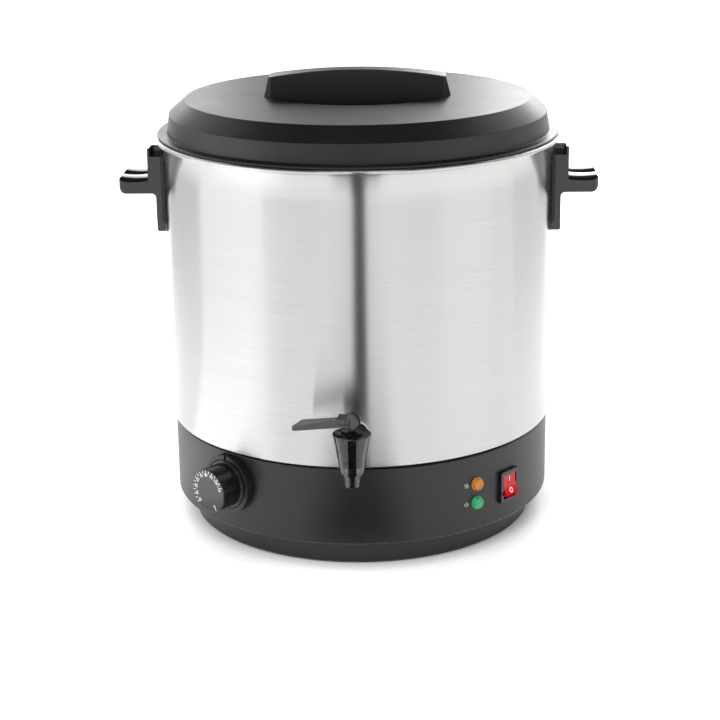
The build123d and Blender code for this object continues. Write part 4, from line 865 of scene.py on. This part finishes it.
class URN_OT_stage(bpy.types.Operator):
    """Set up the pale floor, soft lights and the camera"""

    bl_idname = "urn.stage"
    bl_label = "Set the stage"

    def execute(self, context):
        stage = context.scene.urn_stage
        context.scene.view_settings.view_transform = "Standard"
        self.paint_surround(stage)
        self.lay_floor(stage)
        for light in LIGHTS:
            self.hang_light(*light)
        self.hang_daylight(stage)
        self.stand_flag(stage)
        self.stand_edge_cards(stage)
        self.place_camera(stage)
        return {"FINISHED"}

    def place_camera(self, stage):
        """Camera at its place, pitched down, turned and then leaned about its own line of sight."""
        camera = bpy.data.cameras.new("camera")
        camera.lens = stage.lens
        camera.sensor_width = SENSOR_WIDTH
        holder = bpy.data.objects.new("camera", camera)
        bpy.context.scene.collection.objects.link(holder)
        holder.location = (stage.camera_x, stage.camera_y, stage.camera_z)
        look = Euler((np.pi / 2 - stage.pitch, 0, stage.yaw)).to_matrix()
        holder.rotation_euler = (look @ Euler((0, 0, stage.roll)).to_matrix()).to_euler()
        bpy.context.scene.camera = holder

    def paint_surround(self, stage):
        """White surround that darkens evenly upwards from eye level and from front to rear."""
        world = bpy.data.worlds.new("white surround")
        world.use_nodes = True
        tree = world.node_tree
        ray = add(tree, "ShaderNodeTexCoord").outputs["Generated"]
        way = add(tree, "ShaderNodeSeparateXYZ", {"Vector": ray})
        glow = add(tree, "ShaderNodeMapRange", {
            "Value": way.outputs["Z"], "From Min": SKY_START, "From Max": SKY_END,
            "To Min": stage.horizon, "To Max": stage.zenith,
        }).outputs["Result"]
        fade = add(tree, "ShaderNodeMapRange", {
            "Value": way.outputs["Y"], "From Min": -FADE_HALF, "From Max": FADE_HALF,
            "To Min": 1.0, "To Max": stage.rear,
        }).outputs["Result"]
        light = add(tree, "ShaderNodeMath", {0: glow, 1: fade}, operation="MULTIPLY")
        seen = add(tree, "ShaderNodeLightPath").outputs["Is Camera Ray"]
        shown = add(tree, "ShaderNodeMix", {
            "Factor": seen, "A": light.outputs["Value"], "B": stage.backdrop,
        })
        tree.nodes["Background"].inputs["Color"].default_value = (1, 1, 1, 1)
        tree.links.new(shown.outputs["Result"], tree.nodes["Background"].inputs["Strength"])
        bpy.context.scene.world = world

    def lay_floor(self, stage):
        """Flat floor far larger than the view, just under the foot."""
        spread = np.linspace(-FLOOR_HALF, FLOOR_HALF, FLOOR_POINTS)
        x, y = np.meshgrid(spread, spread)
        grid = np.stack([x, y, np.full_like(x, -FLOOR_DROP)], 2)
        # Matt paper: scatters the light evenly and has no sheen
        paper = grained(
            *new_finish("paper matt white", stage.floor, roughness=0.7),
            grain=0.002, strength=0.02, spread=0.05,
        )
        floor = self.sheet("floor", grid, paper)

    def sheet(self, name, grid, material):
        """Open sheet through a grid of points."""
        mesh = bpy.data.meshes.new(name)
        faces = grid_faces(*grid.shape[:2], False, False)
        mesh.from_pydata(grid.reshape(-1, 3).tolist(), [], faces.tolist())
        mesh.materials.append(material)
        sheet = bpy.data.objects.new(name, mesh)
        bpy.context.scene.collection.objects.link(sheet)
        return sheet

    def hang_daylight(self, stage):
        """Wide even light from above that whitens the floor and makes no highlights."""
        light = bpy.data.lights.new("daylight", "SUN")
        light.energy = stage.daylight
        light.angle = DAYLIGHT_SPREAD
        holder = bpy.data.objects.new("daylight", light)
        holder.rotation_euler = DAYLIGHT_LEAN
        holder.visible_glossy = False
        bpy.context.scene.collection.objects.link(holder)

    def stand_flag(self, stage):
        """Black card that lies on the floor from the urn outwards and then stands up. Seen only in reflections, it
        paints a dark reflection down the steel and the base.

        Its width is even along the apron and then grows evenly with the distance.
        """
        reach = stage.flag_reach
        path = np.array([
            (CARD_START, CARD_LIFT),
            (reach - CARD_EASE, CARD_LIFT),
            (reach + CARD_EASE, CARD_LIFT),
            (CARD_FAR, CARD_LIFT),
            (CARD_FAR, CARD_TOP),
        ])
        away, height = path[:, :1], path[:, 1:]
        side = np.array([[-0.5, 0.5]])
        slim = stage.flag_width + (away - reach) * stage.flag_spread
        width = np.where(away < reach, stage.flag_apron, slim)
        x = away * np.tan(stage.flag_bearing) + side * width
        y = np.broadcast_to(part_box("tank")[0].y - away, x.shape)
        grid = np.stack([x, y, np.broadcast_to(height, x.shape)], 2)
        # Matt black card: takes the light out of a reflection, a painted dark reflection in the steel and the base
        black = new_finish("card matt black", linear("#0a0a0a"), roughness=0.9)[0]
        self.lay_card("black_card", grid, black)

    def stand_edge_cards(self, stage):
        """Pale cards that stand on the floor on both sides of the urn, seen only in reflections: a painted grey
        reflection that shades the tank's edges.
        """
        # Matt pale card, seen only in reflections: a painted shade that softens the steel's edges to a light grey
        pale = new_finish("card matt pale", linear("#d2d2d2"), roughness=0.9)[0]
        sides = (("left_card", -stage.edge_bearing), ("right_card", stage.edge_bearing))
        for name, bearing in sides:
            out = np.array((sin(bearing), -cos(bearing), 0))
            across = np.array((cos(bearing), sin(bearing), 0)) * stage.edge_width / 2
            far = out * stage.edge_away
            path = np.array([far, far + (0, 0, stage.edge_top)])
            self.lay_card(name, np.stack([path - across, path + across], 1), pale)

    def lay_card(self, name, grid, material):
        """Card from a grid of points, seen only in reflections."""
        card = self.sheet(name, grid, material)
        card.visible_camera = False
        card.visible_shadow = False
        card.visible_diffuse = False

    def hang_light(self, name, place, aim, size, power):
        """Soft rectangular light at a place, turned to face a point."""
        light = bpy.data.lights.new(name, "AREA")
        light.shape = "RECTANGLE"
        light.size, light.size_y = size
        light.energy = power
        holder = bpy.data.objects.new(name, light)
        holder.location = place
        holder.rotation_euler = (Vector(aim) - Vector(place)).to_track_quat("-Z", "Y").to_euler()
        holder.visible_camera = False
        bpy.context.scene.collection.objects.link(holder)


STEPS = [
    URN_OT_fittings,
    URN_OT_tank,
    URN_OT_tap,
    URN_OT_knob,
    URN_OT_switch,
    URN_OT_lamps,
    URN_OT_stage,
]


class URN_PT_dressing(bpy.types.Panel):
    """Buttons for the urn's pieces and stage"""

    bl_idname = "URN_PT_dressing"
    bl_label = "Drinks urn"
    bl_space_type = "VIEW_3D"
    bl_region_type = "UI"
    bl_category = "Urn"

    def draw(self, context):
        for step in STEPS:
            self.layout.operator(step.bl_idname)


def register():
    """Registers the settings, the operators and the panel."""
    for group in SETTINGS.values():
        bpy.utils.register_class(group)
    for name, group in SETTINGS.items():
        setattr(bpy.types.Scene, name, bpy.props.PointerProperty(type=group))
    for kind in (*STEPS, URN_PT_dressing):
        bpy.utils.register_class(kind)


def unregister():
    """Takes the panel, the operators and the settings away again."""
    for kind in (URN_PT_dressing, *reversed(STEPS)):
        bpy.utils.unregister_class(kind)
    for name, group in SETTINGS.items():
        delattr(bpy.types.Scene, name)
        bpy.utils.unregister_class(group)


def main():
    """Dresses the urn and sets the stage."""
    register()
    bpy.ops.urn.fittings()
    bpy.ops.urn.tank()
    bpy.ops.urn.tap()
    bpy.ops.urn.knob()
    bpy.ops.urn.switch()
    bpy.ops.urn.lamps()
    bpy.ops.urn.stage()


if __name__ == "__main__":
    main()
